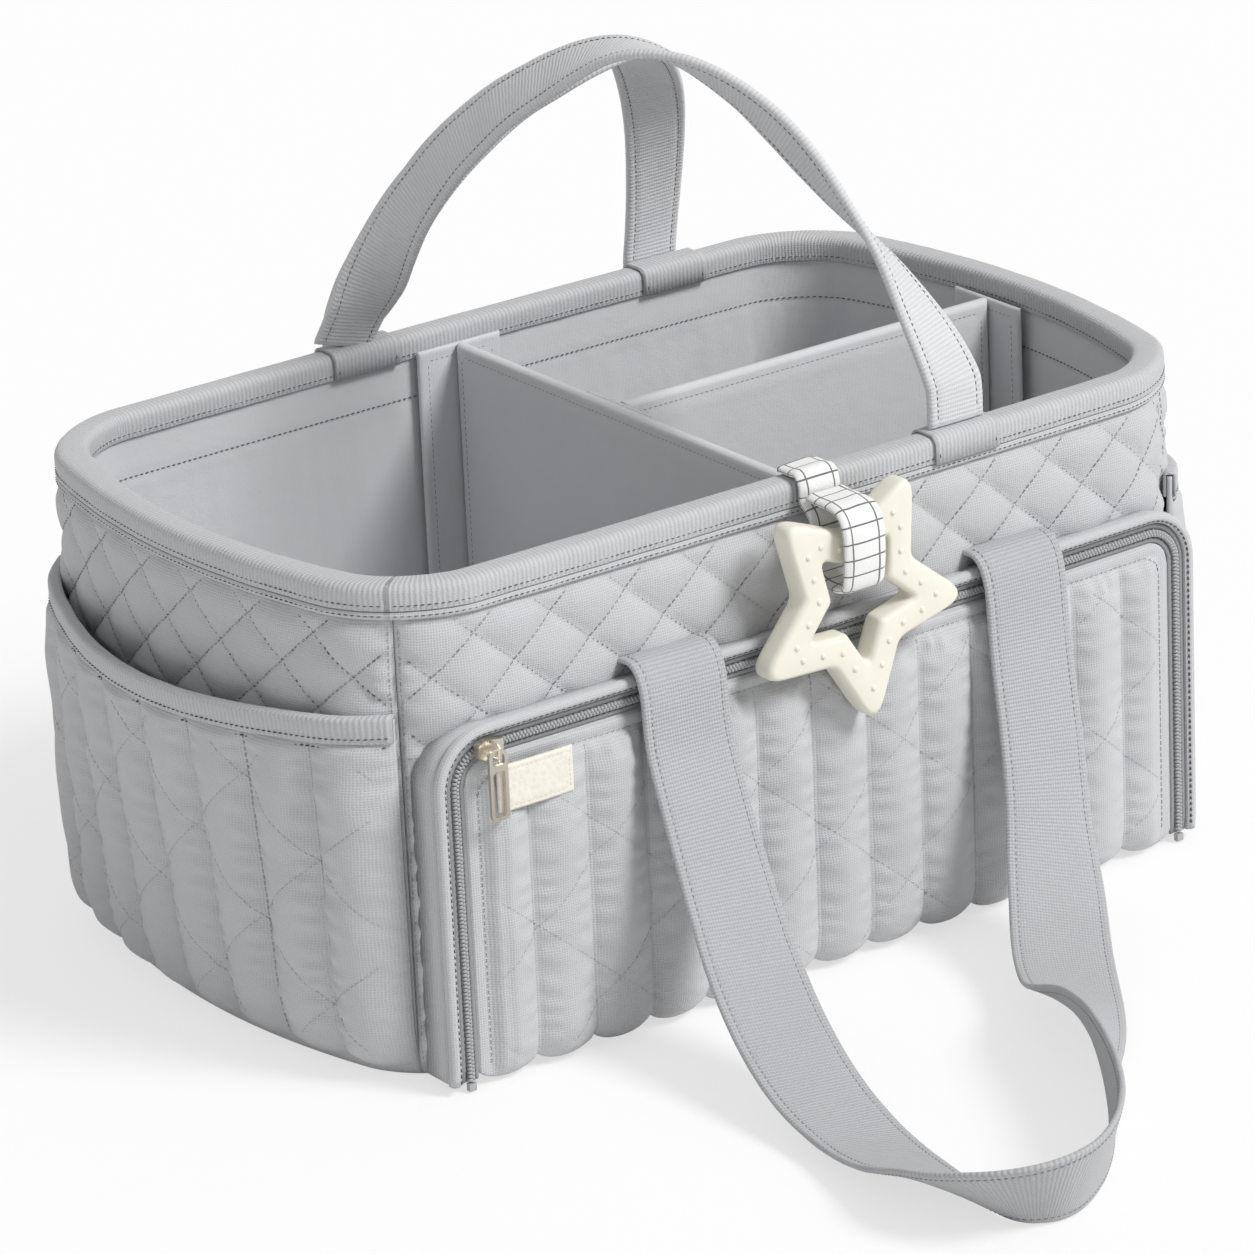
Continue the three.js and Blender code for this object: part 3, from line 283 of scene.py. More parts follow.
class Finisher:
    """Makes and keeps the materials."""

    def __init__(self) -> None:
        """Starts with no materials."""
        self.made: dict[str, Material] = {}

    def material(self, finish: Finish) -> Material:
        """The material of a finish, made on first use.

        Args:
            finish: The finish.

        Returns:
            Its material.
        """
        if finish.name not in self.made:
            build = self.cloth if isinstance(finish, Cloth) else self.smooth
            self.made[finish.name] = build(finish)
        return self.made[finish.name]

    @staticmethod
    def cloth(finish: Cloth) -> Material:
        """Builds a cloth from its threads, its slubs, its creases and its slow shade changes.

        Args:
            finish: The cloth.

        Returns:
            The material.
        """
        nodes = Nodes(finish.name)
        uv = nodes.node("ShaderNodeUVMap", {}).outputs[0]
        split = nodes.node("ShaderNodeSeparateXYZ", {0: uv}).outputs
        sway = nodes.math("MULTIPLY", nodes.noise(uv, 420.0, 2.0), finish.thread * MM * 0.5)
        along, across = (nodes.math("ADD", split[axis], sway) for axis in (0, 1))
        period = finish.thread
        if finish.weave is Weave.RIBBED:
            fine = nodes.ridges(across, period / 2)
            height = nodes.math("MULTIPLY_ADD", fine, 0.25, nodes.ridges(along, period))
        elif finish.weave is Weave.WEBBING:
            cords = nodes.ridges(across, period * 0.75)
            height = nodes.math("MULTIPLY_ADD", cords, 0.45, nodes.ridges(along, period))
        elif finish.weave is Weave.GRAINED:
            cells = nodes.node("ShaderNodeTexVoronoi", {"Vector": uv, "Scale": 1 / (period * MM)})
            height = nodes.math("MULTIPLY", cells.outputs["Distance"], 1.3)
        else:
            fine = 0.8 if finish.weave is Weave.CHECKED else period
            height = nodes.math("MAXIMUM", nodes.ridges(along, fine), nodes.ridges(across, fine))
        height = nodes.math("MULTIPLY_ADD", nodes.noise(uv, 1500.0, 3.0), 0.7, height)
        fine = nodes.math("MULTIPLY", height, 0.45)
        level = nodes.math("MULTIPLY_ADD", nodes.noise(uv, 28.0, 3.0), 0.2, fine)
        base = np.array(finish.color)
        dark, light = base * (1 - finish.contrast), np.minimum(base * (1 + finish.contrast * 0.5), 0.95)
        color = nodes.mix(level, dark, light)
        if finish.weave is Weave.CHECKED:
            places = [nodes.math("MULTIPLY", axis, 1 / (period * MM)) for axis in split[:2]]
            lines = [nodes.math("LESS_THAN", nodes.math("FRACT", place), 0.1) for place in places]
            both = nodes.math("MULTIPLY", nodes.math("MAXIMUM", *lines), 0.85)
            color = nodes.mix(both, color, (0.05, 0.05, 0.055))
        creases = nodes.bump(nodes.noise(uv, 120.0, 4.0), 0.8, 0.3, nodes.bump(height, finish.relief, 0.7))
        return nodes.wire(
            color, creases, Roughness=finish.roughness, Sheen_Weight=finish.sheen, Sheen_Roughness=0.5,
            Specular_IOR_Level=0.25,
        )

    @staticmethod
    def smooth(finish: Smooth) -> Material:
        """Builds a moulded or plated surface with a fine grain and uneven roughness.

        Args:
            finish: The finish.

        Returns:
            The material.
        """
        nodes = Nodes(finish.name)
        where = nodes.node("ShaderNodeTexCoord", {}).outputs["Object"]
        slow = nodes.noise(where, 60.0, 2.0)
        base = np.array(finish.color)
        color = nodes.mix(slow, base * 0.94, np.minimum(base * 1.04, 1))
        rough = nodes.math("MULTIPLY_ADD", slow, finish.mottle, finish.roughness - finish.mottle / 2)
        normal = nodes.bump(nodes.noise(where, 1 / (finish.grain * MM), 3.0), finish.relief, 0.4)
        return nodes.wire(
            color, normal, Roughness=rough, Metallic=finish.metallic, Subsurface_Weight=finish.subsurface,
            Subsurface_Radius=(MM, MM, MM),
        )


FINISHES = Finisher()


def ripple(u: Array, v: Array, size: float, seed: int) -> Array:
    """A smooth uneven field for the slow waves of cloth.

    Args:
        u: One coordinate, in millimetres.
        v: The other coordinate.
        size: The usual size of a wave.
        seed: The seed of its directions.

    Returns:
        Values between about minus one and one.
    """
    chance = np.random.RandomState(seed)
    total = np.zeros(np.broadcast(u, v).shape)
    for _ in range(7):
        turn, phase = chance.uniform(0, 2 * math.pi, 2)
        pace = 2 * math.pi / (size * chance.uniform(0.6, 1.7))
        total = total + np.sin(pace * (u * math.cos(turn) + v * math.sin(turn)) + phase)
    return total / 3.5


def unit(vectors: Array) -> Array:
    """Vectors of length one along the last axis."""
    return vectors / np.maximum(np.linalg.norm(vectors, axis=-1, keepdims=True), 1e-9)


def stacked(*axes: Array | float) -> Array:
    """Points from their coordinates, each an array or one value for all."""
    return np.stack(np.broadcast_arrays(*axes), axis=-1)


def lattice(first: Array, second: Array) -> Array:
    """Every pair of a place of one row and a place of another."""
    return stacked(*np.meshgrid(first, second, indexing="ij"))


def beside(line: Array) -> Array:
    """The level direction to the right of a line, at each of its points."""
    along = np.gradient(line, axis=0)
    return unit(stacked(along[:, 1], -along[:, 0], 0.0))


def crown(first: float, last: float, low: float, r: float, steps: int = 6) -> list[tuple[float, float]]:
    """The rounded top of a section.

    Args:
        first: The place of the side that it starts from.
        last: The place of the side that it ends on.
        low: The height where both sides start to curve.
        r: The radius of the curves.
        steps: The points of each curve.

    Returns:
        The place and height of each point.
    """
    side = math.copysign(r, last - first)
    arc = np.linspace(0, math.pi / 2, steps)
    up = [(first + side * (1 - math.cos(a)), low + r * math.sin(a)) for a in arc]
    return up + [(last - side * (1 - math.sin(a)), low + r * math.cos(a)) for a in arc]


def running(points: Array) -> Array:
    """The length along a row of points."""
    return np.concatenate([[0], np.cumsum(np.linalg.norm(np.diff(points, axis=0), axis=1))])


def sample(places: Array, run: Array, table: Array) -> Array:
    """A table's rows at lengths along it.

    Args:
        places: The lengths.
        run: The length at each row.
        table: The rows.

    Returns:
        The rows between.
    """
    return np.stack([np.interp(places, run, column) for column in table.T], axis=1)


def add(name: str, data: bpy.types.ID) -> Object:
    """Adds an object to the scene.

    Args:
        name: Its name.
        data: Its mesh, lamp or camera.

    Returns:
        The object.
    """
    made = bpy.data.objects.new(name, data)
    bpy.context.scene.collection.objects.link(made)
    return made


def tie(
    made: Object, slot: str, node: str = "", body: str | None = "caddy", fill: float | None = None
) -> Object:
    """Ties a piece to the frame and reports it.

    Args:
        made: The piece.
        slot: The record's slot; not used.
        node: The CAD node that it replaces, if any.
        body: The body that it rides on, or nothing.
        fill: How full its padding is, if it is padded; not used.

    Returns:
        The piece.
    """
    if node:
        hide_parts(node)
    if body:
        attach(made, body)
    LOG.info("%s: %d faces", made.name, len(made.data.polygons))
    return made


class Maker:
    """Turns arrays of points in millimetres into Blender objects."""

    @staticmethod
    def make(name: str, points: Array, faces: Sequence[Sequence[int]], finish: Finish, uv: Array) -> Object:
        """Makes an object.

        Args:
            name: Its name.
            points: Its points.
            faces: Its faces.
            finish: Its finish.
            uv: The cloth coordinate of each point.

        Returns:
            The object.
        """
        mesh = bpy.data.meshes.new(name)
        mesh.from_pydata((np.asarray(points, float) * MM).tolist(), [], [tuple(face) for face in faces])
        mesh.update()
        loops = np.zeros(len(mesh.loops), np.int32)
        mesh.loops.foreach_get("vertex_index", loops)
        layer = mesh.uv_layers.new(name="UVMap")
        layer.data.foreach_set("uv", (np.asarray(uv, float)[loops] * MM).astype(np.float32).ravel())
        mesh.shade_smooth()
        mesh.materials.append(FINISHES.material(finish))
        return add(name, mesh)

    @staticmethod
    def quads(rows: int, columns: int, offset: int, flip: bool) -> list[list[int]]:
        """The faces of a grid of points.

        Args:
            rows: The number of rows.
            columns: The number of points in a row.
            offset: The index of the first point.
            flip: Whether the faces turn the other way.

        Returns:
            The faces.
        """
        places = np.arange(rows * columns).reshape(rows, columns) + offset
        corners = (places[:-1, :-1], places[:-1, 1:], places[1:, 1:], places[1:, :-1])
        faces = np.stack([corner.ravel() for corner in corners], axis=1)
        return (faces[:, ::-1] if flip else faces).tolist()

    def shell(
        self, name: str, front: Array, back: Array, finish: Cloth, uv: Array, flip: bool = False
    ) -> Object:
        """A closed thick sheet between a front grid and a back grid of points.

        Args:
            name: The object's name.
            front: The front points, rows by columns by three.
            back: The back points, in the same order.
            finish: The finish.
            uv: The cloth coordinate of each front point.
            flip: Whether the faces turn the other way.

        Returns:
            The object.
        """
        rows, columns = front.shape[:2]
        count = rows * columns
        faces = self.quads(rows, columns, 0, flip) + self.quads(rows, columns, count, not flip)
        places = np.arange(count).reshape(rows, columns)
        rim = [*places[:, 0], *places[-1, 1:], *places[-2::-1, -1], *places[0, -2:0:-1]]
        for here, there in zip(rim, rim[1:] + rim[:1]):
            face = [int(here), int(there), int(there) + count, int(here) + count]
            faces.append(face[::-1] if flip else face)
        points = np.concatenate([front.reshape(-1, 3), back.reshape(-1, 3)])
        return self.make(name, points, faces, finish, np.tile(uv.reshape(-1, 2), (2, 1)))

    def tube(self, name: str, rings: Array, finish: Finish, uv: Array, closed: bool = False) -> Object:
        """A solid skinned through closed rings of points.

        Args:
            name: The object's name.
            rings: The points, rings by points by three.
            finish: The finish.
            uv: The cloth coordinate of each point.
            closed: Whether the last ring joins the first.

        Returns:
            The object.
        """
        count, around = rings.shape[:2]
        here = np.arange(count * around).reshape(count, around)
        there, side = np.roll(here, -1, axis=0), np.roll(here, -1, axis=1)
        corners = np.stack([here, side, np.roll(there, -1, axis=1), there], axis=-1)
        faces = (corners if closed else corners[:-1]).reshape(-1, 4).tolist()
        if not closed:
            faces += [here[0, ::-1].tolist(), here[-1].tolist()]
        return self.make(name, rings.reshape(-1, 3), faces, finish, uv.reshape(-1, 2))


MAKER = Maker()


@dataclass
class Cover:
    """The front of a sewn panel, as a grid that stitches are laid on.

    Attributes:
        front: Its points, columns by rows by three.
        s: The length along the cloth of each column.
        z: The height of each point.
    """

    front: Array
    s: Array
    z: Array

    def __post_init__(self) -> None:
        """Works out the outward direction at each point."""
        down, across = np.gradient(self.front, axis=0), np.gradient(self.front, axis=1)
        self.normal = unit(np.cross(across, down))

    def at(self, s: Array | float, z: Array | float) -> tuple[Array, Array]:
        """The points and the outward directions at places on the cloth.

        Args:
            s: The lengths along it, or one length for all.
            z: The heights, or one height for all.

        Returns:
            The two arrays.
        """
        s, z = np.broadcast_arrays(s, z)
        columns, rows = self.z.shape
        place = np.clip(np.interp(s, self.s, np.arange(columns)), 0, columns - 1.001)
        i = place.astype(int)
        a = (place - i)[:, None]
        heights = self.z[i] * (1 - a) + self.z[i + 1] * a
        row = np.array([np.interp(level, line, np.arange(rows)) for level, line in zip(z, heights)])
        row = np.clip(row, 0, rows - 1.001)
        j = row.astype(int)
        b = (row - j)[:, None]
        found = []
        for grid in (self.front, self.normal):
            low = grid[i, j] * (1 - a) + grid[i + 1, j] * a
            found.append(low * (1 - b) + (grid[i, j + 1] * (1 - a) + grid[i + 1, j + 1] * a) * b)
        return found[0], found[1]


@dataclass
class Thread:
    """Rows of stitches that become one mesh.

    Attributes:
        name: The mesh's name.
        finish: The thread's finish.
        pitch: The distance from stitch to stitch.
        length: The length of one stitch.
        width: The width of the thread.
        lift: How far the thread stands off the cloth.
        points: The stitches so far.
    """

    name: str
    finish: Cloth
    pitch: float = 2.5
    length: float = 1.6
    width: float = 0.62
    lift: float = 0.22
    points: list[Array] = field(default_factory=list)

    def row(self, line: Array, normal: Array) -> None:
        """Adds a row of stitches.

        Args:
            line: The points of the row, on the cloth.
            normal: The outward direction at each point, or one for all.
        """
        run = running(line)
        count = int((run[-1] - self.length) // self.pitch)
        if count < 1:
            return
        starts = self.pitch * (np.arange(count) + 0.4)
        first, middle, last = (sample(starts + self.length * share, run, line) for share in (0, 0.5, 1))
        out = unit(sample(starts + self.length / 2, run, np.broadcast_to(normal, line.shape)))
        side = unit(np.cross(last - first, out)) * self.width / 2
        low, high = out * -0.25 * self.width, out * (self.width / 2 + self.lift)
        rings = []
        for centre, share in ((first, 0.3), (middle, 1.0), (last, 0.3)):
            rings.append([centre - side * share + low, centre + high * share, centre + side * share + low])
        self.points.append(np.array(rings).transpose(2, 0, 1, 3))

    def sew(self, cover: Cover, s: Array | float, z: Array | float) -> None:
        """Adds a row of stitches at lengths and heights on a panel."""
        self.row(*cover.at(s, z))

    def done(self, slot: str, body: str | None = "caddy", blend: Tie | None = None) -> None:
        """Makes the mesh of all the rows.

        Args:
            slot: The record's slot.
            body: The body that it rides on.
            blend: What is done to it afterwards, if anything.
        """
        stitches = np.concatenate(self.points)
        pattern = np.array([[0, 1, 4, 3], [1, 2, 5, 4], [3, 4, 7, 6], [4, 5, 8, 7]])
        faces = (pattern + np.arange(len(stitches))[:, None, None] * 9).reshape(-1, 4)
        points = stitches.reshape(-1, 3)
        made = MAKER.make(self.name, points, faces.tolist(), self.finish, points[:, :2])
        tie(made, slot, body=body)
        if blend:
            blend(made)


def pocket_thread(name: str) -> Thread:
    """The thick thread of a pocket's channels."""
    return Thread(name, THREAD, width=0.75, lift=0.45)


def faint_thread_painted_seam_shade(name: str) -> Thread:
    """The faint thread of a pocket's wide diamonds: pale thread coloured darker as painted seam shade."""
    return Thread(name, SEAM_SHADED_FAINT_THREAD, width=0.45, lift=0.05)


@dataclass
class Body:
    """The box's outline and wall sizes, as in the part's source."""

    length: float = 370
    width: float = 242
    height: float = 196
    corner: float = 34
    end_bow: float = 22
    side_bow: float = 2
    clearance: float = 0.3
    shell: float = 4
    board: float = 3
    lining: float = 1.2
    base_tuck: float = 8
    tuck_height: float = 14
    seam_degrees: float = 40
    bottom: float = 2.5
    base_board: float = 2.6
    binding: float = 1.4
    binding_height: float = 10
    trim_height: float = 3
    trim: float = 1.2
    sleeve: float = 1
    corner_steps: int = 15

    def __post_init__(self) -> None:
        """Works out the sizes that follow from the others."""
        clear = self.clearance
        self.wall = self.shell + self.board + self.lining + 2 * clear
        self.wall_top = self.height - self.binding - 2 * clear
        self.rim_out = self.binding + clear
        self.rim_in = self.wall + self.rim_out
        self.floor_top = self.bottom + self.base_board + 2 * clear + self.lining
        self.sleeve_top = self.height + clear + self.sleeve
        self.seam_gap = math.degrees(clear / (self.corner - self.wall)) / 2

    def tuck(self, z: Array) -> Array:
        """How far the foot of the shell tucks in at each height."""
        share = np.clip(1 - np.asarray(z, float) / self.tuck_height, 0, 1)
        return self.base_tuck * (1 - np.sqrt(1 - share**2))

    def outline(self, stops: Array, inset: Array | float) -> Array:
        """Places on the bowed, rounded outline.

        Args:
            stops: Rows of two corner places (side of X, side of Y, degrees) and a share between them.
            inset: The inset from the outside, for each stop or each stop and column.

        Returns:
            The X and Y of each.
        """
        inset = np.broadcast_to(np.asarray(inset, float), np.shape(inset) or (len(stops),))
        stop = stops.T.reshape((7, -1) + (1,) * (inset.ndim - 1))
        radius = self.corner - inset
        ends = []
        for side_x, side_y, degrees in (stop[:3], stop[3:6]):
            x = side_x * (self.length / 2 - self.corner) + radius * np.cos(np.radians(degrees))
            y = side_y * (self.width / 2 - self.corner) + radius * np.sin(np.radians(degrees))
            ends.append((x, y))
        x, y = (first + (second - first) * stop[6] for first, second in zip(*ends))
        half_x, half_y = self.length / 2 - inset, self.width / 2 - inset
        bowed_x = x * (1 + self.end_bow * (1 - (y / half_y) ** 2) / half_x)
        bowed_y = y * (1 + self.side_bow * (1 - (x / half_x) ** 2) / half_y)
        return stacked(bowed_x, bowed_y)

    def stops(self, first: Corner, second: Corner, start: float, gap: float, steps: int) -> Array:
        """Stops of one panel between its two corner seams.

        Args:
            first: The first corner's sides.
            second: The second corner's sides.
            start: The degrees at the first corner's seam.
            gap: What is left out at each seam, in degrees.
            steps: The steps between the corners.

        Returns:
            The stops.
        """
        reach = self.seam_degrees if first[1] == second[1] else 90 - self.seam_degrees
        face = start + 90 - reach
        ends = []
        for corner, low, high in ((first, start + gap, face), (second, face, face + 90 - reach - gap)):
            turns = [low + (high - low) * share for share in np.linspace(0, 1, self.corner_steps)]
            ends.append([(*corner, degrees, *corner, degrees, 0) for degrees in turns])
        middle = [(*first, face, *second, face, share) for share in np.linspace(0, 1, steps + 1)[1:-1]]
        return np.array(ends[0] + middle + ends[1])

    def long_stops(self, side_y: int, gap: float = 0.0, steps: int = 180) -> Array:
        """Stops of a long panel, from its first corner seam to its second."""
        start, first = (180, -1) if side_y < 0 else (0, 1)
        return self.stops((first, side_y), (-first, side_y), start + self.seam_degrees, gap, steps)

    def end_stops(self, side_x: int, gap: float = 0.0, steps: int = 120) -> Array:
        """Stops of an end panel, from its first corner seam to its second."""
        start, first = (90, 1) if side_x < 0 else (270, -1)
        return self.stops((side_x, first), (side_x, -first), start + 90 - self.seam_degrees, gap, steps)

    def all_stops(self, long_steps: int = 150, end_steps: int = 100) -> Array:
        """Stops round the whole outline."""
        ends = [self.end_stops(side, 0, end_steps)[1:-1] for side in (1, -1)]
        longs = [self.long_stops(side, 0, long_steps) for side in (-1, 1)]
        return np.concatenate([longs[0], ends[0], longs[1], ends[1]])

    def surface(self, stops: Array, inset: Array | float, z: Array | float) -> Array:
        """Points of a wall, from an inset and a height for each stop, and row if there are rows."""
        x, y = np.moveaxis(self.outline(stops, inset), -1, 0)
        return stacked(x, y, z)

    def long_side(self, x: Array | float, inset: Array | float = 0.0) -> Array | float:
        """The distance from the middle to a long side."""
        return self.width / 2 - inset + self.side_bow * (1 - (x / (self.length / 2 - inset)) ** 2)

    def end_side(self, y: Array | float, inset: float = 0.0) -> Array | float:
        """The distance from the middle to an end."""
        return self.length / 2 - inset + self.end_bow * (1 - (y / (self.width / 2 - inset)) ** 2)


BOX = Body()


@dataclass(frozen=True)
class Quilting:
    """Diamond quilting.

    Attributes:
        across: The width of a diamond.
        up: The height of a diamond.
        puff: How far a diamond stands up.
        shift: Where the pattern starts.
        swell: How quickly a diamond rises from its seams; lower is quicker.
    """

    across: float = 33.5
    up: float = 29.0
    puff: float = 3.1
    shift: float = 4.0
    swell: float = 0.42

    def height(self, s: Array, z: Array) -> Array:
        """The puff at each length along the cloth and height."""
        places = [(s + self.shift) / self.across + side * z / self.up for side in (1, -1)]
        return self.puff * np.prod(np.abs(np.sin(math.pi * np.array(places))), axis=0) ** self.swell

    def seams(self, s_range: tuple[float, float], z_range: tuple[float, float]) -> list[Array]:
        """The seams of the pattern inside a box of places.

        Args:
            s_range: The lowest and highest length along the cloth.
            z_range: The lowest and highest height.

        Returns:
            The length and height of each place along each seam.
        """
        found = []
        low = math.floor((s_range[0] + self.shift) / self.across - z_range[1] / self.up) - 1
        high = math.ceil((s_range[1] + self.shift) / self.across + z_range[1] / self.up) + 1
        z = np.arange(z_range[0], z_range[1], 0.8)
        for number in range(low, high):
            for side in (1, -1):
                s = (number - side * z / self.up) * self.across - self.shift
                inside = (s >= s_range[0]) & (s <= s_range[1])
                if inside.sum() > 6:
                    found.append((s[inside], z[inside]))
        return found


def near(distance: Array, reach: float) -> Array:
    """A rise from zero at a seam to one at a distance."""
    return np.clip(distance / reach, 0, 1) ** 0.5


def pucker(distance: Array, z: Array, seed: int) -> Array:
    """Small gathers beside a seam.

    Args:
        distance: The distance from the seam.
        z: The place along it.
        seed: The seed of its phase.

    Returns:
        The height of the gathers.
    """
    pitch, middle, reach, sway = 8.5, 4.5, 4, 2.2
    wave = np.sin(2 * math.pi * z / pitch + sway * ripple(distance * 0.3, z, 30, seed))
    return wave * np.exp(-(((distance - middle) / reach) ** 2)) * np.clip(distance / 2, 0, 1)


def channel_puff(
    puff: float, wave: Array, quilting: Quilting, s: Array, z: Array, from_seam: Array, seed: int
) -> Array:
    """The puff of sewn channels.

    Args:
        puff: How far a channel stands up.
        wave: How full the channels are in each column, from zero to one.
        quilting: The wide diamonds on them.
        s: The length along the cloth.
        z: The height.
        from_seam: The distance from the nearest seam.
        seed: The first of two seeds, of the slow waves and of the gathers.

    Returns:
        The height at each place.
    """
    soft = quilting.height(s, z) + 0.5 * ripple(s, z, 34, seed)
    total = puff * wave[:, None] ** 0.85 + soft * wave[:, None] ** 0.5
    return total + 0.55 * pucker(from_seam, z, seed + 1)


@dataclass
class Shell:
    """The quilted outer panels, the bottom, the lining and the rim."""

    band_foot: float = 128.0
    fade: float = 6.0
    seat: float = 0.5
    strip: float = 27.0
    round: float = 3.2
    groove: float = 0.25
    curl: float = 6.0
    lining_seam: float = 26.0
    lining_rows: int = 90
    sleeve_length: float = 31.0
    seam_inset: float = 1.8
    rim_seam: float = 2.1
    fill: float = 0.35
    quilting: Quilting = Quilting()
    # The quilting stitches take the pale thread, whose colour carries painted seam shade.
    thread: Thread = field(default_factory=lambda: Thread("shell_stitches", SEAM_SHADED_PALE_THREAD))
    dark: Thread = field(default_factory=lambda: Thread("rim_stitches", THREAD))
    inside: Thread = field(default_factory=lambda: Thread("lining_stitches", THREAD))

    def panel(self, node: str, stops: Array, hidden_foot: float, strip: float) -> None:
        """One outer panel.

        Args:
            node: The CAD node that it replaces.
            stops: Its stops.
            hidden_foot: The height below which a pocket hides its middle.
            strip: The width of the strips beside the pocket that show.
        """
        s = running(BOX.outline(stops, 0.0))
        foot = np.linspace(0, 1, 12) ** 1.5 * BOX.tuck_height
        z_line = np.concatenate([foot[:-1], np.arange(BOX.tuck_height, BOX.wall_top, 1.6), [BOX.wall_top]])
        grid_s, z = np.meshgrid(s, z_line, indexing="ij")
        edge = np.minimum(grid_s, s[-1] - grid_s)
        top = BOX.height - BOX.binding_height - BOX.trim_height
        above = np.clip((z - hidden_foot) / self.fade, 0, 1)
        shown = np.maximum(above, np.clip((strip - edge) / self.fade, 0, 1))
        calm = near(edge, self.fade) * near(top - 1 - z, self.fade) * near(z, 2 * self.fade) * shown
        puff = (self.quilting.height(grid_s, z) + 0.4 * ripple(grid_s, z, 45, 3)) * calm
        puff = puff + 0.45 * pucker(edge, z, 5) * shown * near(top - z, self.fade)
        front = BOX.surface(stops, BOX.tuck(z) + self.seat - puff, z)
        back = BOX.surface(stops, BOX.tuck(z) + BOX.shell, z)
        made = MAKER.shell(node + "_quilted", front, back, SHELL_CLOTH, stacked(grid_s, z))
        tie(made, "cloth", node, fill=self.fill)
        cover = Cover(front, s, z)
        for line in self.quilting.seams((2.5, s[-1] - 2.5), (max(hidden_foot, 6), top - 1)):
            self.thread.sew(cover, *line)
        for place in (self.seam_inset, s[-1] - self.seam_inset):
            self.thread.sew(cover, place, np.arange(6.0, top - 1, 1.5))
        if strip:
            for first, last in ((2.0, strip), (s[-1] - strip, s[-1] - 2.0)):
                self.thread.sew(cover, np.linspace(first, last, 60), hidden_foot + 1)
                for line in self.quilting.seams((first, last), (8, hidden_foot)):
                    self.thread.sew(cover, *line)

    def bottom(self) -> None:
        """The soft bottom panel."""
        stops = BOX.all_stops()
        edge = BOX.outline(stops, BOX.shell + BOX.base_tuck + BOX.clearance)
        edge = np.concatenate([edge, edge[:1]])
        shares = np.concatenate([np.linspace(0, 0.96, 22), [0.985, 1.0]])
        places = edge[:, None] * shares[:, None]
        calm = np.minimum(1, (1 - shares) * 12)
        puff = Quilting(40, 40, 0.5, 0).height(places[..., 0], places[..., 1]) * calm
        front = stacked(places[..., 0], places[..., 1], BOX.bottom - 0.4 + puff * 0.5)
        back = stacked(places[..., 0], places[..., 1], 0.55 - puff)
        made = MAKER.shell("bottom_panel_quilted", front, back, SHELL_CLOTH, places)
        tie(made, "cloth", "bottom_panel")

    def lining(self) -> None:
        """The lining tub: its walls, its floor and its seams."""
        stops = BOX.all_stops()
        stops = np.concatenate([stops, stops[:1]])
        run = running(BOX.outline(stops, 0.0))
        turn = np.linspace(0, math.pi / 2, 7)[1:]
        wall_z = np.linspace(BOX.wall_top, BOX.floor_top + self.curl, self.lining_rows)
        z_line = np.concatenate([wall_z, BOX.floor_top + self.curl * (1 - np.sin(turn))])
        curl = np.concatenate([0 * wall_z, self.curl * (1 - np.cos(turn))])
        grid_s, z = np.meshgrid(run, z_line, indexing="ij")
        seam = BOX.height - self.lining_seam
        wave = 0.25 * ripple(grid_s, z, 70, 11) + 0.2 * ripple(grid_s, z * 0.25, 15, 12) - 0.2
        calm = np.clip((seam - z) / 6, 0, 1) * np.clip((z - BOX.floor_top) / 12, 0, 1)
        groove = 0.3 * np.exp(-((z - seam) ** 2))
        inner = BOX.surface(stops, BOX.wall + curl + 0.35 + wave * calm - groove, z)
        shares = np.linspace(0.95, 0.02, 10)
        x, y = (inner[:, -1:, axis] * shares for axis in (0, 1))
        sag = 0.3 * ripple(x, y, 60, 14) * (1 - shares)
        inside = np.concatenate([inner, stacked(x, y, BOX.floor_top + 0.1 + sag)], axis=1)
        low = BOX.floor_top - BOX.lining
        place = np.concatenate([np.ones(len(z_line)), shares])
        x, y = (axis[:, None] * place for axis in BOX.outline(stops, BOX.wall - BOX.lining).T)
        heights = np.concatenate([np.linspace(BOX.wall_top, low, len(z_line)), np.full(len(shares), low)])
        outside = stacked(x, y, heights)
        uv = lattice(run, running(inside[0]))
        tie(MAKER.shell("lining_tub", inside, outside, LINING_CLOTH, uv), "lining", "lining")
        line = BOX.surface(stops, BOX.wall + 0.3, seam)
        self.inside.row(line, unit(line * [-1, -1, 0]))
        self.inside.done("lining")

    def rim(self) -> None:
        """The rim binding, its trim strip and their stitches."""
        stops = BOX.all_stops(190, 130)
        foot, out, inner, r = BOX.height - BOX.binding_height, BOX.rim_out, BOX.rim_in, self.round
        seam, above = foot + self.rim_seam, foot + 3.6
        profile = [(-out + 0.45, foot), (-out, foot + 0.5), (-out + self.groove, seam), (-out, above)]
        curve = crown(-out, inner, BOX.height - r, r)
        profile += [*curve[:6], ((inner - out) / 2, BOX.height + 0.1), *curve[6:]]
        profile += [(inner, above), (inner - self.groove, seam), (inner, foot + 0.5), (inner - 0.45, foot)]
        under = BOX.height - BOX.binding - BOX.clearance
        profile += [(inner - BOX.binding, foot + 0.2), (inner - BOX.binding, under)]
        profile += [(-BOX.clearance, under), (-BOX.clearance, foot + 0.2)]
        self.band("rim_binding", stops, np.array(profile), BINDING_TAPE)
        clear, thick, top = BOX.clearance, BOX.trim, foot - BOX.clearance
        low = top - BOX.trim_height
        profile = [(-clear - thick * 0.55, low), (-clear - thick, low + 0.5), (-clear - thick, top - 0.5)]
        profile += [(-clear - thick * 0.6, top), (-clear, top), (-clear, low)]
        self.band("rim_trim", stops, np.array(profile), SHELL_CLOTH)
        ring = np.concatenate([stops, stops[:1]])
        seams = ((-out + 0.2, seam, 1), (inner - 0.2, seam, -1), (-clear - thick, low + 1.4, 1))
        for inset, z, side in seams:
            line = BOX.surface(ring, inset, z)
            self.dark.row(line, beside(line) * side)

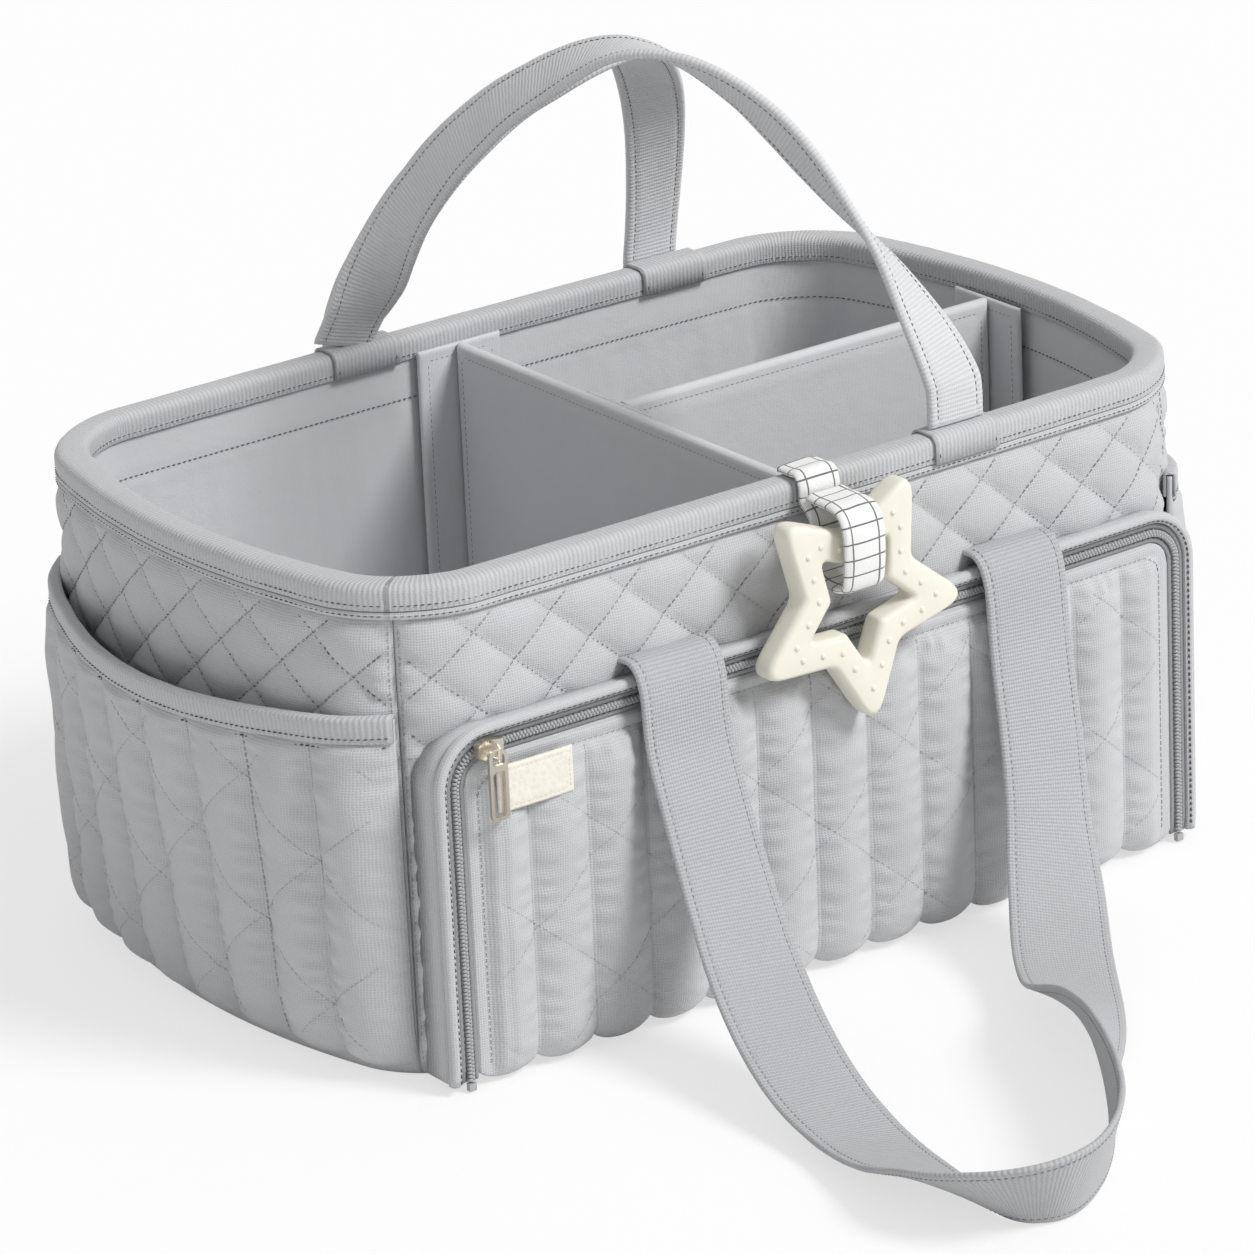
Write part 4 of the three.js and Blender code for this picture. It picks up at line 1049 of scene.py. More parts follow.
    def band(self, node: str, stops: Array, section: Array, finish: Cloth) -> None:
        """A band with a closed section all round the outline.

        Args:
            node: The CAD node that it replaces.
            stops: The stops.
            section: Rows of inset and height.
            finish: The finish.
        """
        run = running(BOX.outline(stops, 0.0))
        slack = 0.14 * ripple(run[:, None], section[:, 1], 18, 21)
        rings = BOX.surface(stops, section[:, 0] + slack, section[:, 1])
        uv = lattice(run, running(section))
        made = MAKER.tube(node + "_tape", rings[:, ::-1], finish, uv[:, ::-1], closed=True)
        tie(made, "binding", node)

    def sleeve(self, node: str, side_y: int, x: float) -> None:
        """A sleeve of binding that wraps the rim at a handle's foot.

        Args:
            node: The CAD node that it replaces.
            side_y: The side of the box.
            x: The middle of the sleeve.
        """
        foot, thick = BOX.height - BOX.binding_height, BOX.sleeve
        out, inner = BOX.rim_out + BOX.clearance, BOX.rim_in + BOX.clearance
        section = []
        for grow in (thick, 0):
            before, behind, r = -out - grow, inner + grow, self.round + grow / 2
            curve = crown(before, behind, BOX.sleeve_top - thick + grow - r, r)
            line = [(before, foot), *curve, (behind, foot)]
            section += line if grow else line[::-1]
        profile = np.array(section)
        xs = x + self.sleeve_length * (np.linspace(0, 1, 22) - 0.5)
        y = side_y * BOX.long_side(xs[:, None], profile[:, 0])
        rings = stacked(xs[:, None], y, profile[:, 1])
        uv = lattice(xs, running(profile))
        made = MAKER.tube(node + "_tape", rings[::-side_y], BINDING_TAPE, uv[::-side_y])
        tie(made, "binding", node)
        z = np.arange(foot + 1.5, BOX.sleeve_top - 3, 0.8)
        for place in (xs[0] + self.seam_inset, xs[-1] - self.seam_inset):
            for inset, side in ((-out - thick, 1), (inner + thick, -1)):
                line = stacked(place, side_y * BOX.long_side(place, inset), z)
                self.dark.row(line, np.array([0, side_y * side, 0.0]))

    def build(self) -> None:
        """Builds every piece of the shell."""
        gap = BOX.seam_gap
        self.panel("front_panel", BOX.long_stops(-1, gap), self.band_foot, self.strip)
        self.panel("rear_panel", BOX.long_stops(1, gap), 0, 0)
        self.panel("left_panel", BOX.end_stops(-1, gap), self.band_foot, 0)
        self.panel("right_panel", BOX.end_stops(1, gap), self.band_foot, 0)
        self.bottom()
        self.lining()
        self.rim()
        for node, side_y, x in (("rear_left", 1, -39), ("rear_right", 1, 112.5), ("front_right", -1, 72)):
            self.sleeve(node + "_sleeve", side_y, x)
        self.thread.done("cloth")
        self.dark.done("binding")


@dataclass
class EndPockets:
    """The two end pockets: puffed panels of sewn channels, bound at the mouth."""

    top: float = 146.0
    dip: float = 5.0
    bulge: float = 13.0
    foot: float = 3.0
    seat: float = 0.7
    channels: int = 8
    cloth: float = 2.0
    puff: float = 5.4
    scallop: float = 3.5
    under_tuck: float = 9.0
    under_height: float = 34.0
    binding_height: float = 9.0
    binding: float = 1.2
    round: float = 1.7
    fill: float = 0.5
    quilting: Quilting = Quilting(60, 58, 0.9, 10)
    thread: Thread = field(default_factory=lambda: pocket_thread("end_pocket_stitches"))
    faint: Thread = field(default_factory=lambda: faint_thread_painted_seam_shade("end_pocket_quilting"))

    def top_at(self, share: Array) -> Array:
        """The height of the mouth at a share of the way round."""
        return self.top - self.dip * np.sin(math.pi * share)

    def back(self, share: Array, height_share: Array, bulge: float) -> Array:
        """How far the pocket's back stands off the wall."""
        reach = self.binding + 2 * BOX.clearance + bulge * np.sin(math.pi * np.clip(share, 0, 1)) ** 1.5
        return self.seat + reach * np.clip(height_share, 0, 1.02) ** 1.3

    def pocket(self, node: str, side_x: int, bulge: float) -> None:
        """One pocket's panel.

        Args:
            node: The CAD node that it replaces.
            side_x: The end that it is on.
            bulge: How far its mouth stands open.
        """
        stops = BOX.end_stops(side_x, BOX.seam_gap, 170)
        s = running(BOX.outline(stops, 0.0))
        share = s / s[-1]
        rows = np.concatenate([np.linspace(0, 0.12, 12), np.linspace(0.135, 1, 80)])
        wave = np.abs(np.sin(math.pi * self.channels * share))
        low = self.foot + self.scallop * (1 - wave**0.6)
        top = self.top_at(share)
        z = low[:, None] + rows * (top - 0.6 - low)[:, None]
        height_share = (z - self.foot) / (top[:, None] - self.foot)
        steps = [0, 0.02, 0.06, 0.16, 0.5, 0.8, 0.92, 0.94, 1]
        rise = np.interp(rows, steps, [0, 0.4, 0.8, 1, 1, 0.9, 0.6, 0, 0])
        grid_s = np.broadcast_to(s[:, None], z.shape)
        pitch = s[-1] / self.channels
        from_seam = np.minimum(grid_s % pitch, pitch - grid_s % pitch)
        puff = channel_puff(self.puff, wave, self.quilting, grid_s, z, from_seam, 31) - 0.3
        offset = self.back(share[:, None], height_share, bulge)
        share_up = np.clip(1 - z / self.under_height, 0, 1)
        under = self.under_tuck * (1 - np.sqrt(1 - share_up**2))
        front = BOX.surface(stops, BOX.tuck(z) + under - offset - self.cloth - puff * rise, z)
        back = BOX.surface(stops, BOX.tuck(z) + np.minimum(under, 3) - offset, z)
        made = MAKER.shell(node + "_channels", front, back, SHELL_CLOTH, stacked(grid_s, z))
        tie(made, "cloth", node, fill=self.fill)
        cover = Cover(front, s, z)
        for channel in range(1, self.channels):
            height = np.linspace(self.foot + self.scallop + 1.5, self.top - self.binding_height - 2, 200)
            self.thread.sew(cover, channel * pitch, height)
        for line in self.quilting.seams((6, s[-1] - 6), (14, self.top - 16)):
            self.faint.sew(cover, *line)

    def mouth(self, node: str, side_x: int, bulge: float) -> None:
        """One pocket's binding.

        Args:
            node: The CAD node that it replaces.
            side_x: The end that it is on.
            bulge: How far its mouth stands open.
        """
        stops = BOX.end_stops(side_x, BOX.seam_gap, 120)
        s = running(BOX.outline(stops, 0.0))
        share = s / s[-1]
        grip, r, foot = self.cloth + BOX.clearance, self.round, -self.binding_height
        out, low, high = grip + self.binding, -BOX.clearance - self.binding, self.binding
        seam = foot + 2
        section = [(out - 0.4, foot), (out, foot + 0.5), (out - 0.3, seam), (out, foot + 3.4)]
        section += crown(out, low, high - r, r, 5)
        section += [(low, foot + 0.3), (-BOX.clearance, foot), (-BOX.clearance, 0.1)]
        section += [(grip, 0.1), (grip, foot)]
        profile = np.array(section)
        top = self.top_at(share)
        z = top[:, None] + profile[:, 1]
        height_share = np.minimum((z - self.foot) / (top - self.foot)[:, None], 1)
        offset = self.back(share[:, None], height_share, bulge) + profile[:, 0]
        slack = 0.15 * ripple(s[:, None], profile[:, 1], 20, 33)
        uv = lattice(s, running(profile))
        made = MAKER.tube(node + "_tape", BOX.surface(stops, -offset - slack, z), BINDING_TAPE, uv)
        tie(made, "binding", node)
        for rise, grow in ((seam, -0.2), (foot - 1.8, 0.3 - self.binding)):
            level = top + rise
            place = self.back(share, (level - self.foot) / (top - self.foot), bulge) + out + grow
            line = BOX.surface(stops, -place, level)
            self.thread.row(line, beside(line))

    def build(self) -> None:
        """Builds both pockets, the left one open and the right one nearly flat."""
        for side_x, word, share in ((-1, "left", 1.0), (1, "right", 0.2)):
            self.pocket(word + "_pocket", side_x, self.bulge * share)
            self.mouth(word + "_pocket_binding", side_x, self.bulge * share)
        self.thread.done("cloth")
        self.faint.done("cloth")


@dataclass
class FrontPocket:
    """The zipped front pocket, its zipper and its label."""

    half: float = 179.0
    top: float = 141.0
    foot: float = 4.0
    radius: float = 22.0
    channels: int = 13
    puff: float = 4.2
    scallop: float = 4.5
    crown: float = 4.0
    back: float = 2.0
    edge: float = 7.0
    hem: float = 5.0
    gusset_depth: float = 6.0
    gusset_thick: float = 1.5
    gusset_seat: float = 0.8
    welt_width: float = 4.6
    welt_thick: float = 3.0
    welt_lip: float = 1.0
    welt_dent: float = 0.7
    welt_seam: float = 1.2
    tape_width: float = 2.0
    tape_thick: float = 0.8
    coil_width: float = 3.0
    tooth_pitch: float = 1.5
    fill: float = 0.5
    label_left: float = -157.0
    label_top: float = 126.5
    label_length: float = 33.0
    label_height: float = 18.0
    label_thick: float = 1.0
    label_hem: float = 1.8
    quilting: Quilting = Quilting(67, 58, 0.9, 6)
    thread: Thread = field(default_factory=lambda: pocket_thread("front_pocket_stitches"))
    faint: Thread = field(default_factory=lambda: faint_thread_painted_seam_shade("front_pocket_quilting"))

    def __post_init__(self) -> None:
        """Works out the places of the zipper and the panel."""
        clear = BOX.clearance
        self.out = self.gusset_depth + clear
        self.tape_one = self.welt_width - self.welt_lip + clear
        self.coil = self.tape_one + self.tape_width + clear
        self.tape_two = self.coil + self.coil_width + clear
        inside = self.tape_two + self.tape_width + clear
        self.panel_half = self.half - inside
        self.panel_top = self.top - inside
        self.panel_radius = self.radius - inside
        self.panel_foot = self.foot / 2

    def path(self, finer: int = 3) -> tuple[Array, Array]:
        """The outer edge of the pocket: up the left, over the top and down the right.

        Args:
            finer: How many times finer than the CAD's the path is.

        Returns:
            The X and Z of each place, and the inward direction there.
        """
        straight, shoulder = self.half - self.radius, self.top - self.radius
        z = np.linspace(self.foot, shoulder, 12 * finer)
        turn = np.linspace(math.pi, math.pi / 2, 6 * finer)[1:-1]
        round_in = -stacked(np.cos(turn), np.sin(turn))
        left = stacked(-self.half, z)
        arc = np.array([-straight, shoulder]) - self.radius * round_in
        over = stacked(np.linspace(-straight, straight, 34 * finer), self.top)
        mirror = np.array([-1, 1])
        at = np.concatenate([left, arc, over, arc[::-1] * mirror, left[::-1] * mirror])
        sides = np.tile([1.0, 0.0], (len(left), 1))
        inward = [sides, round_in, np.tile([0.0, -1.0], (len(over), 1)), round_in[::-1] * mirror, -sides]
        return at, np.concatenate(inward)

    def band(
        self, name: str, slot: str, node: str, section: Rows, finish: Finish, seated: bool = False
    ) -> None:
        """A band along the pocket's frame.

        Args:
            name: The object's name.
            slot: The record's slot.
            node: The CAD node that it replaces, if any.
            section: Rows of the distance in from the edge and out from the wall.
            finish: The finish.
            seated: Whether points at zero lie on the wall.
        """
        at, inward = self.path()
        profile = np.array(section)
        place = at[:, None] + inward[:, None] * profile[:, :1]
        x = place[..., 0]
        face = BOX.long_side(x) + profile[:, 1]
        if seated:
            edge = BOX.outline(BOX.long_stops(-1), 0.0)
            wall = self.gusset_seat - np.interp(x, edge[:, 0], edge[:, 1])
            face = np.where(profile[:, 1] == 0, wall, face)
        face = face - 0.3 * BOX.tuck(place[..., 1])
        rings = stacked(x, -face, place[..., 1])[:, ::-1]
        uv = lattice(running(at), running(profile))[:, ::-1]
        tie(MAKER.tube(name, rings, finish, uv), slot, node)

    def frame(self) -> None:
        """The gusset, the welt, the zipper's tapes and their stitches."""
        depth, thick, clear = self.gusset_depth, self.gusset_thick, BOX.clearance
        section = [(0, 0), (thick, 0), (thick, depth), (0.7, depth + 0.2), (0, depth)]
        self.band("pocket_gusset_cloth", "binding", "pocket_gusset", section, SHELL_CLOTH, True)
        lip, wide, high = self.welt_lip, self.welt_width, self.welt_thick
        crest, seam = [], 7
        for turn in np.linspace(0, math.pi, 11):
            rise = (high - clear) * math.sin(turn) ** 0.6
            crest.append((wide / 2 * (1 - math.cos(turn)) - lip, self.out + clear + rise))
        crest[seam] = (crest[seam][0], crest[seam][1] - self.welt_dent)
        section = [(-lip, self.out), *crest, (wide - lip, self.out)]
        self.band("pocket_welt_cloth", "binding", "pocket_welt", section[::-1], SHELL_CLOTH)
        wide, thick = self.tape_width, self.tape_thick
        for node, inside in (("zipper_tape_outer", self.tape_one), ("zipper_tape_inner", self.tape_two)):
            section = [(inside, self.out), (inside + wide, self.out), (inside + wide, self.out + thick)]
            section += [(inside + wide / 2, self.out + thick + 0.15), (inside, self.out + thick)]
            self.band(node + "_cloth", "zipper_tape", node, section, ZIP_TAPE)
        at, inward = self.path()
        welt_seam = (self.welt_width - lip - self.welt_seam, high - 0.4)
        for inside, out in (welt_seam, (self.tape_one + wide, thick), (self.tape_two, thick)):
            x, z = (at + inward * inside).T
            line = stacked(x, -(BOX.long_side(x) + self.out + out), z)
            self.thread.row(line, FORWARD)

    def zipper(self) -> None:
        """The zipper's coil, tooth by tooth, on its bed."""
        at, inward = self.path(6)
        line = at + inward * (self.coil + self.coil_width / 2)
        run = running(line)
        count = int(run[-1] / self.tooth_pitch)
        places = (np.arange(count) + 0.5) * self.tooth_pitch
        x, z, in_x, in_z = sample(places, run, np.concatenate([line, inward], axis=1)).T
        inner, along = stacked(in_x, 0.0, in_z), stacked(in_z, 0.0, -in_x)
        centre = stacked(x, -(BOX.long_side(x) + self.out), z)
        points = []
        reach, half = self.coil_width / 2 - 0.05, self.tooth_pitch * 0.36
        for side in (-1, 1):
            shift = centre + along * self.tooth_pitch / 4 * side
            for level, tip, root, slim in ((0.1, 1.0, -0.25, 1), (1.4, 1.0, -0.2, 1), (2.1, 0.72, 0.0, 0.75)):
                for edge in (-1, 1):
                    for end in (root, tip):
                        across = inner * (side * end * reach) + along * edge * half * slim
                        points.append(shift + across + FORWARD * level)
        stack = np.stack(points, axis=1).reshape(-1, 3)
        sides = ((0, 1), (1, 3), (3, 2), (2, 0))
        pattern = [[i + base, j + base, j + base + 4, i + base + 4] for base in (0, 4) for i, j in sides]
        pattern.append([8, 9, 11, 10])
        faces = (np.array(pattern) + np.arange(count * 2)[:, None, None] * 12).reshape(-1, 4)
        made = MAKER.make("zipper_teeth", stack, faces.tolist(), COIL_NYLON, stack[:, ::2])
        tie(made, "zipper_coil", "zipper_coil")
        first, last, low = self.coil, self.coil + self.coil_width, self.out
        section = [(first, low), (last, low), (last, low + 0.9), (first, low + 0.9)]
        self.band("zipper_bed", "zipper_coil", "", section, ZIP_TAPE)

    def top_at(self, x: Array) -> Array:
        """The height of the panel's edge at an X."""
        past = np.clip(np.abs(x) - (self.panel_half - self.panel_radius), 0, self.panel_radius)
        return self.panel_top - self.panel_radius + np.sqrt(self.panel_radius**2 - past**2)

    def crown_at(self, x: Array) -> Array:
        """How far the panel is crowned at an X."""
        share = np.clip((x + self.panel_half) / (2 * self.panel_half), 0, 1)
        return self.crown * np.sin(math.pi * share) ** 0.4

    def panel(self) -> Cover:
        """The puffed panel of sewn channels inside its hem.

        Returns:
            Its front.
        """
        share = np.linspace(0, 1, self.channels * 20 + 1)
        x = self.panel_half * (2 * share - 1)
        wave = np.abs(np.sin(math.pi * self.channels * share))
        low = self.panel_foot + self.scallop * (1 - wave**0.6)
        top = self.top_at(x)
        spans = ((0, 0.1, 12), (0.115, 0.86, 56), (0.87, 1, 20))
        rows = np.concatenate([np.linspace(*span) for span in spans])
        z = low[:, None] + rows * (top - low)[:, None]
        grid_x = np.broadcast_to(x[:, None], z.shape)
        inside = np.minimum(top[:, None] - z, self.panel_half - np.abs(grid_x))
        hem = np.interp(inside, [0, 0.7, 2.2, 4, 5, 6, 9, 15], [0.05, 0.45, 0.62, 0.58, 0.42, 0.58, 0.9, 1])
        full = np.interp(inside, [5, 8, 14], [0, 0.6, 1])
        rise = np.interp(rows, [0, 0.015, 0.04, 0.1], [0, 0.4, 0.75, 1])
        pitch = 2 * self.panel_half / self.channels
        place = (grid_x + self.panel_half) % pitch
        from_seam = np.minimum(place, pitch - place)
        puff = channel_puff(self.puff, wave, self.quilting, grid_x, z, from_seam, 41) - 0.4
        gathers = 0.5 * pucker(inside - 4, grid_x, 43) * rise
        out = self.edge + (self.crown_at(x)[:, None] * hem + puff * full) * rise + gathers
        front = stacked(grid_x, -(BOX.long_side(grid_x) + out), z)
        tuck = np.minimum(BOX.tuck(z), BOX.base_tuck * 0.5)
        back = stacked(grid_x, -(BOX.long_side(grid_x) + self.back - tuck), z)
        made = MAKER.shell("front_pocket_channels", front, back, SHELL_CLOTH, stacked(grid_x, z))
        tie(made, "cloth", "front_pocket_panel", fill=self.fill)
        cover = Cover(front, x, z)
        for channel in range(1, self.channels):
            height = np.linspace(self.panel_foot + self.scallop + 1.5, self.panel_top - self.hem, 200)
            self.thread.sew(cover, channel * pitch - self.panel_half, height)
        for line in self.quilting.seams((8 - self.panel_half, self.panel_half - 8), (10, self.panel_top - 9)):
            self.faint.sew(cover, *line)
        inner = self.panel_half - self.hem
        side = np.arange(8.0, self.panel_top - self.panel_radius, 1.0)
        over = np.linspace(-inner, inner, 500)
        arch = np.minimum(self.top_at(over * self.panel_half / inner) - self.hem, self.panel_top - self.hem)
        self.thread.sew(cover, over, arch)
        for edge in (-inner, inner):
            self.thread.sew(cover, edge, side)
        return cover

    def label(self, cover: Cover) -> None:
        """The blank label patch and its border of stitches.

        Args:
            cover: The front of the panel that it lies on.
        """
        left, top, length, height = self.label_left, self.label_top, self.label_length, self.label_height
        x, z = np.meshgrid(left + np.linspace(0, length, 50), top - np.linspace(0, height, 30), indexing="ij")
        under = np.max(-cover.at(x.ravel(), z.ravel())[0][:, 1].reshape(x.shape) - BOX.long_side(x))
        edge = np.minimum(np.minimum(x - left, left + length - x), np.minimum(top - z, z - top + height))
        groove = 0.25 * np.exp(-((edge - self.label_hem) ** 2) / 0.35)
        pillow = self.label_thick * (0.4 + 0.6 * near(edge, 0.8)) - groove
        base = BOX.long_side(x) + under - 0.6 + 0.8 * np.cos((x - left - length / 2) / length * 2)
        front, back = stacked(x, -(base + pillow), z), stacked(x, -(base - 0.6), z)
        made = MAKER.shell("label_patch_cloth", front, back, LABEL_CLOTH, stacked(x, z), flip=True)
        tie(made, "label", "label_patch")
        thread, inset = Thread("label_stitches", LABEL_THREAD, 1.9, 1.3, 0.4, 0.05), self.label_hem
        xs = np.linspace(left + inset, left + length - inset, 60)
        zs = np.linspace(top - height + inset, top - inset, 60)
        surface = Cover(front[:, ::-1], x[:, 0], z[:, ::-1])
        for line_x, line_z in ((xs, zs[0]), (xs, zs[-1]), (xs[0], zs), (xs[-1], zs)):
            thread.row(surface.at(line_x, line_z)[0], FORWARD)
        thread.done("label")

    def build(self) -> None:
        """Builds the front pocket."""
        self.frame()
        self.zipper()
        self.label(self.panel())
        self.thread.done("cloth")
        self.faint.done("cloth")


class Route:
    """A smooth line through stops, with a direction across it, as in the part's source."""

    def __init__(self, stops: Rows, calm: float = 0.0) -> None:
        """Samples the line.

        Args:
            stops: Rows of X, Y, Z and the direction across.
            calm: Over what length the line is evened out, away from its ends.
        """
        table = np.array(stops, float)
        self.points = self.curve(table[:, :3])
        self.wide = self.curve(unit(table[:, 3:]))
        if calm:
            self.even(calm)
        self.run = running(self.points)
        self.length = float(self.run[-1])
        self.ends = (table[1, :3] - table[0, :3], table[-1, :3] - table[-2, :3])

    def even(self, calm: float) -> None:
        """Evens the line and its direction across out, with the ends kept.

        Args:
            calm: The length of the window.
        """
        run = running(self.points)
        places = np.linspace(0, run[-1], int(run[-1]))
        table = sample(places, run, np.concatenate([self.points, self.wide], axis=1))
        reach = int(calm * 2)
        window = np.exp(-((np.arange(-reach, reach + 1) / calm) ** 2))
        padded = np.pad(table, ((reach, reach), (0, 0)), "edge")
        soft = np.stack([np.convolve(column, window / window.sum(), "valid") for column in padded.T], axis=1)
        share = np.clip((np.minimum(places, run[-1] - places) - 4) / (2.2 * calm), 0, 1)[:, None]
        table = table + (soft - table) * share * share * (3 - 2 * share)
        self.points, self.wide = table[:, :3], table[:, 3:]

    @staticmethod
    def curve(points: Array, steps: int = 24) -> Array:
        """A centripetal curve through points.

        Args:
            points: The points.
            steps: The samples between two points.

        Returns:
            The samples.
        """
        padded = np.concatenate([[2 * points[0] - points[1]], points, [2 * points[-1] - points[-2]]])
        t = np.linspace(0, 1, steps + 1)[:-1, None]
        found = []
        for place in range(len(points) - 1):
            p0, p1, p2, p3 = padded[place : place + 4]
            d0, d1, d2 = (max(np.linalg.norm(step), 1e-4) ** 0.5 for step in (p1 - p0, p2 - p1, p3 - p2))
            t1 = ((p1 - p0) / d0 - (p2 - p0) / (d0 + d1) + (p2 - p1) / d1) * d1
            t2 = ((p2 - p1) / d1 - (p3 - p1) / (d1 + d2) + (p3 - p2) / d2) * d1
            bend = (3 * (p2 - p1) - 2 * t1 - t2) * t**2
            found.append(p1 + t1 * t + bend + (2 * (p1 - p2) + t1 + t2) * t**3)
        return np.concatenate([*found, points[-1:]])

    def frame(self, places: Array) -> tuple[Array, Array, Array]:
        """The point, the direction across and the upward direction at lengths along the line.

        Args:
            places: The lengths.

        Returns:
            The three arrays.
        """
        centre = sample(places, self.run, self.points)
        ahead = sample(np.minimum(places + 0.5, self.length), self.run, self.points)
        along = ahead - sample(np.maximum(places - 0.5, 0), self.run, self.points)
        along[places <= 0], along[places >= self.length] = self.ends
        along = unit(along)
        side = sample(places, self.run, self.wide)
        side = unit(side - along * np.sum(side * along, axis=1, keepdims=True))
        return centre, side, np.cross(along, side)


@dataclass
class Strap:
    """A flat soft strap along a route.

    Attributes:
        node: The CAD node that it replaces.
        stops: The route.
        width: Its width.
        thick: Its thickness.
        finish: Its finish.
        slot: The record's slot.
        blend: What is done to it once it is made.
        thread: The rows of stitches along its edges.
        inset: How far each row of stitches is from its edge.
        groove: How deep the stitches pull in.
        spacing: The distance between its rings.
        calm: Over what length its line is evened out.
    """

    node: str
    stops: Rows
    width: float
    thick: float
    finish: Cloth
    slot: str
    blend: Tie
    thread: Thread
    inset: float = 3.6
    groove: float = 0.5
    spacing: float = 2.2
    calm: float = 11.0

    def section(self) -> Array:
        """Half of the section: the place across and the half thickness, from edge to edge."""
        half, flat, edge = self.width / 2, self.thick / 2, self.thick * 0.35
        across = [0, edge * 0.3, edge, self.inset - 0.9, self.inset, self.inset + 0.9]
        across = np.concatenate([across, np.linspace(self.inset + 2.4, half, 4)]) - half
        shares = np.array([0, 0.6, 0.9, 0.92, 1 - self.groove / flat, 0.95, 1, 1, 1, 1])
        left = stacked(across, flat * shares)
        return np.concatenate([left, left[:-1][::-1] * [-1, 1]])

    def build(self) -> None:
        """Builds the strap and its stitches."""
        route = Route(self.stops, self.calm)
        reach = self.thick / 2
        ends = reach * np.array([0, 0.04, 0.12, 0.25, 0.42, 0.62, 0.82])
        middle = np.linspace(reach, route.length - reach, int((route.length - 2 * reach) / self.spacing))
        places = np.concatenate([ends, middle, route.length - ends[::-1]])
        centre, side, up = route.frame(places)
        past = np.clip(1 - np.minimum(places, route.length - places) / reach, 0, 1)
        deep = np.maximum(np.sqrt(1 - past**2), 0.3)
        half = self.section()
        loop = np.concatenate([half, half[1:-1][::-1] * [1, -1]])
        sway = 0.08 * ripple(places[:, None], loop[:, 0], 22, 51) * np.sign(loop[:, 1])
        rise = loop[:, 1] * deep[:, None] + sway
        rings = centre[:, None] + side[:, None] * loop[:, :1] + up[:, None] * rise[..., None]
        girth = np.concatenate([half[:, 0], half[1:-1][::-1, 0]])
        uv = lattice(places, girth)
        made = tie(MAKER.tube(self.node + "_strap", rings, self.finish, uv), self.slot, self.node, None)
        fine = np.linspace(reach * 0.9, route.length - reach * 0.9, 900)
        centre, side, up = route.frame(fine)
        for across in (-1, 1):
            for face in (-1, 1):
                place = centre + side * across * (self.width / 2 - self.inset)
                self.thread.row(place + up * face * (self.thick / 2 - self.groove), up * face)
        self.blend(made)
        self.thread.done(self.slot, None, self.blend)


FRONT_HANDLE = (
    (-40, 106.6, 221.8, 0.85, -0.5, -0.12), (-37.9, 102.4, 230.4, 0.62, -0.74, -0.22),
    (-35.9, 98.2, 239, 0.38, -0.86, -0.32), (-31.6, 89.5, 255.9, 0.1, -0.9, -0.4),
    (-27.1, 80.5, 268.6, -0.07, -0.88, -0.46), (-22.6, 71.5, 281.3, -0.17, -0.85, -0.48),
    (-17, 60.4, 292.6, -0.28, -0.8, -0.5), (-11.5, 49.2, 303.9, -0.4, -0.74, -0.5),
    (-5, 36.2, 312.9, -0.52, -0.68, -0.46), (1.5, 23.1, 321.8, -0.62, -0.62, -0.4),
    (8, 9.5, 328.6, -0.76, -0.55, -0.22), (13.5, -4, 331.5, -0.84, -0.49, 0.08),
    (22.5, -23, 328.5, -0.7, -0.5, 0.5), (28.5, -34, 323.5, -0.6, -0.5, 0.65),
    (35, -46, 315.5, -0.45, -0.6, 0.65), (41, -57.5, 304.5, -0.3, -0.7, 0.65),
    (47, -70, 290.5, -0.3, -0.8, 0.5), (52, -79, 278.5, -0.44, -0.8, 0.4),
    (59, -93, 261.5, -0.7, -0.65, 0.3), (64, -102, 245.5, -0.88, -0.42, 0.15),
    (68, -110, 231, -0.97, -0.2, 0.05),
)
REAR_HANDLE = (
    (-34.3, 126.6, 206, 0.97, -0.25, -0.02), (-31.1, 120.1, 217, 0.75, -0.62, -0.15),
    (-26.4, 112.5, 233.5, 0.3, -0.88, -0.32), (-21, 105.3, 249.9, 0.06, -0.9, -0.42),
    (-13.2, 101.1, 260.9, 0, -0.9, -0.43), (-4.3, 98.3, 271.3, 0.02, -0.92, -0.38),
    (6.9, 95.1, 279.8, 0.1, -0.95, -0.28), (19.1, 93.2, 287.8, 0.2, -0.97, -0.15),
    (31.4, 87.9, 294.1, 0.22, -0.97, -0.03), (42.7, 80.9, 301, 0.25, -0.96, 0),
    (55, 76, 304.5, 0.4, -0.91, 0), (67, 76.5, 303.5, 0.55, -0.83, 0), (79, 83.5, 297, 0.7, -0.71, 0),
    (89, 93, 288, 0.8, -0.6, 0), (98, 101.5, 275.5, 0.88, -0.46, 0), (105.3, 110, 259.2, 0.95, -0.3, 0),
    (110.6, 119, 235, 1, -0.12, 0), (112.5, 125, 212, 1, 0, 0),
)
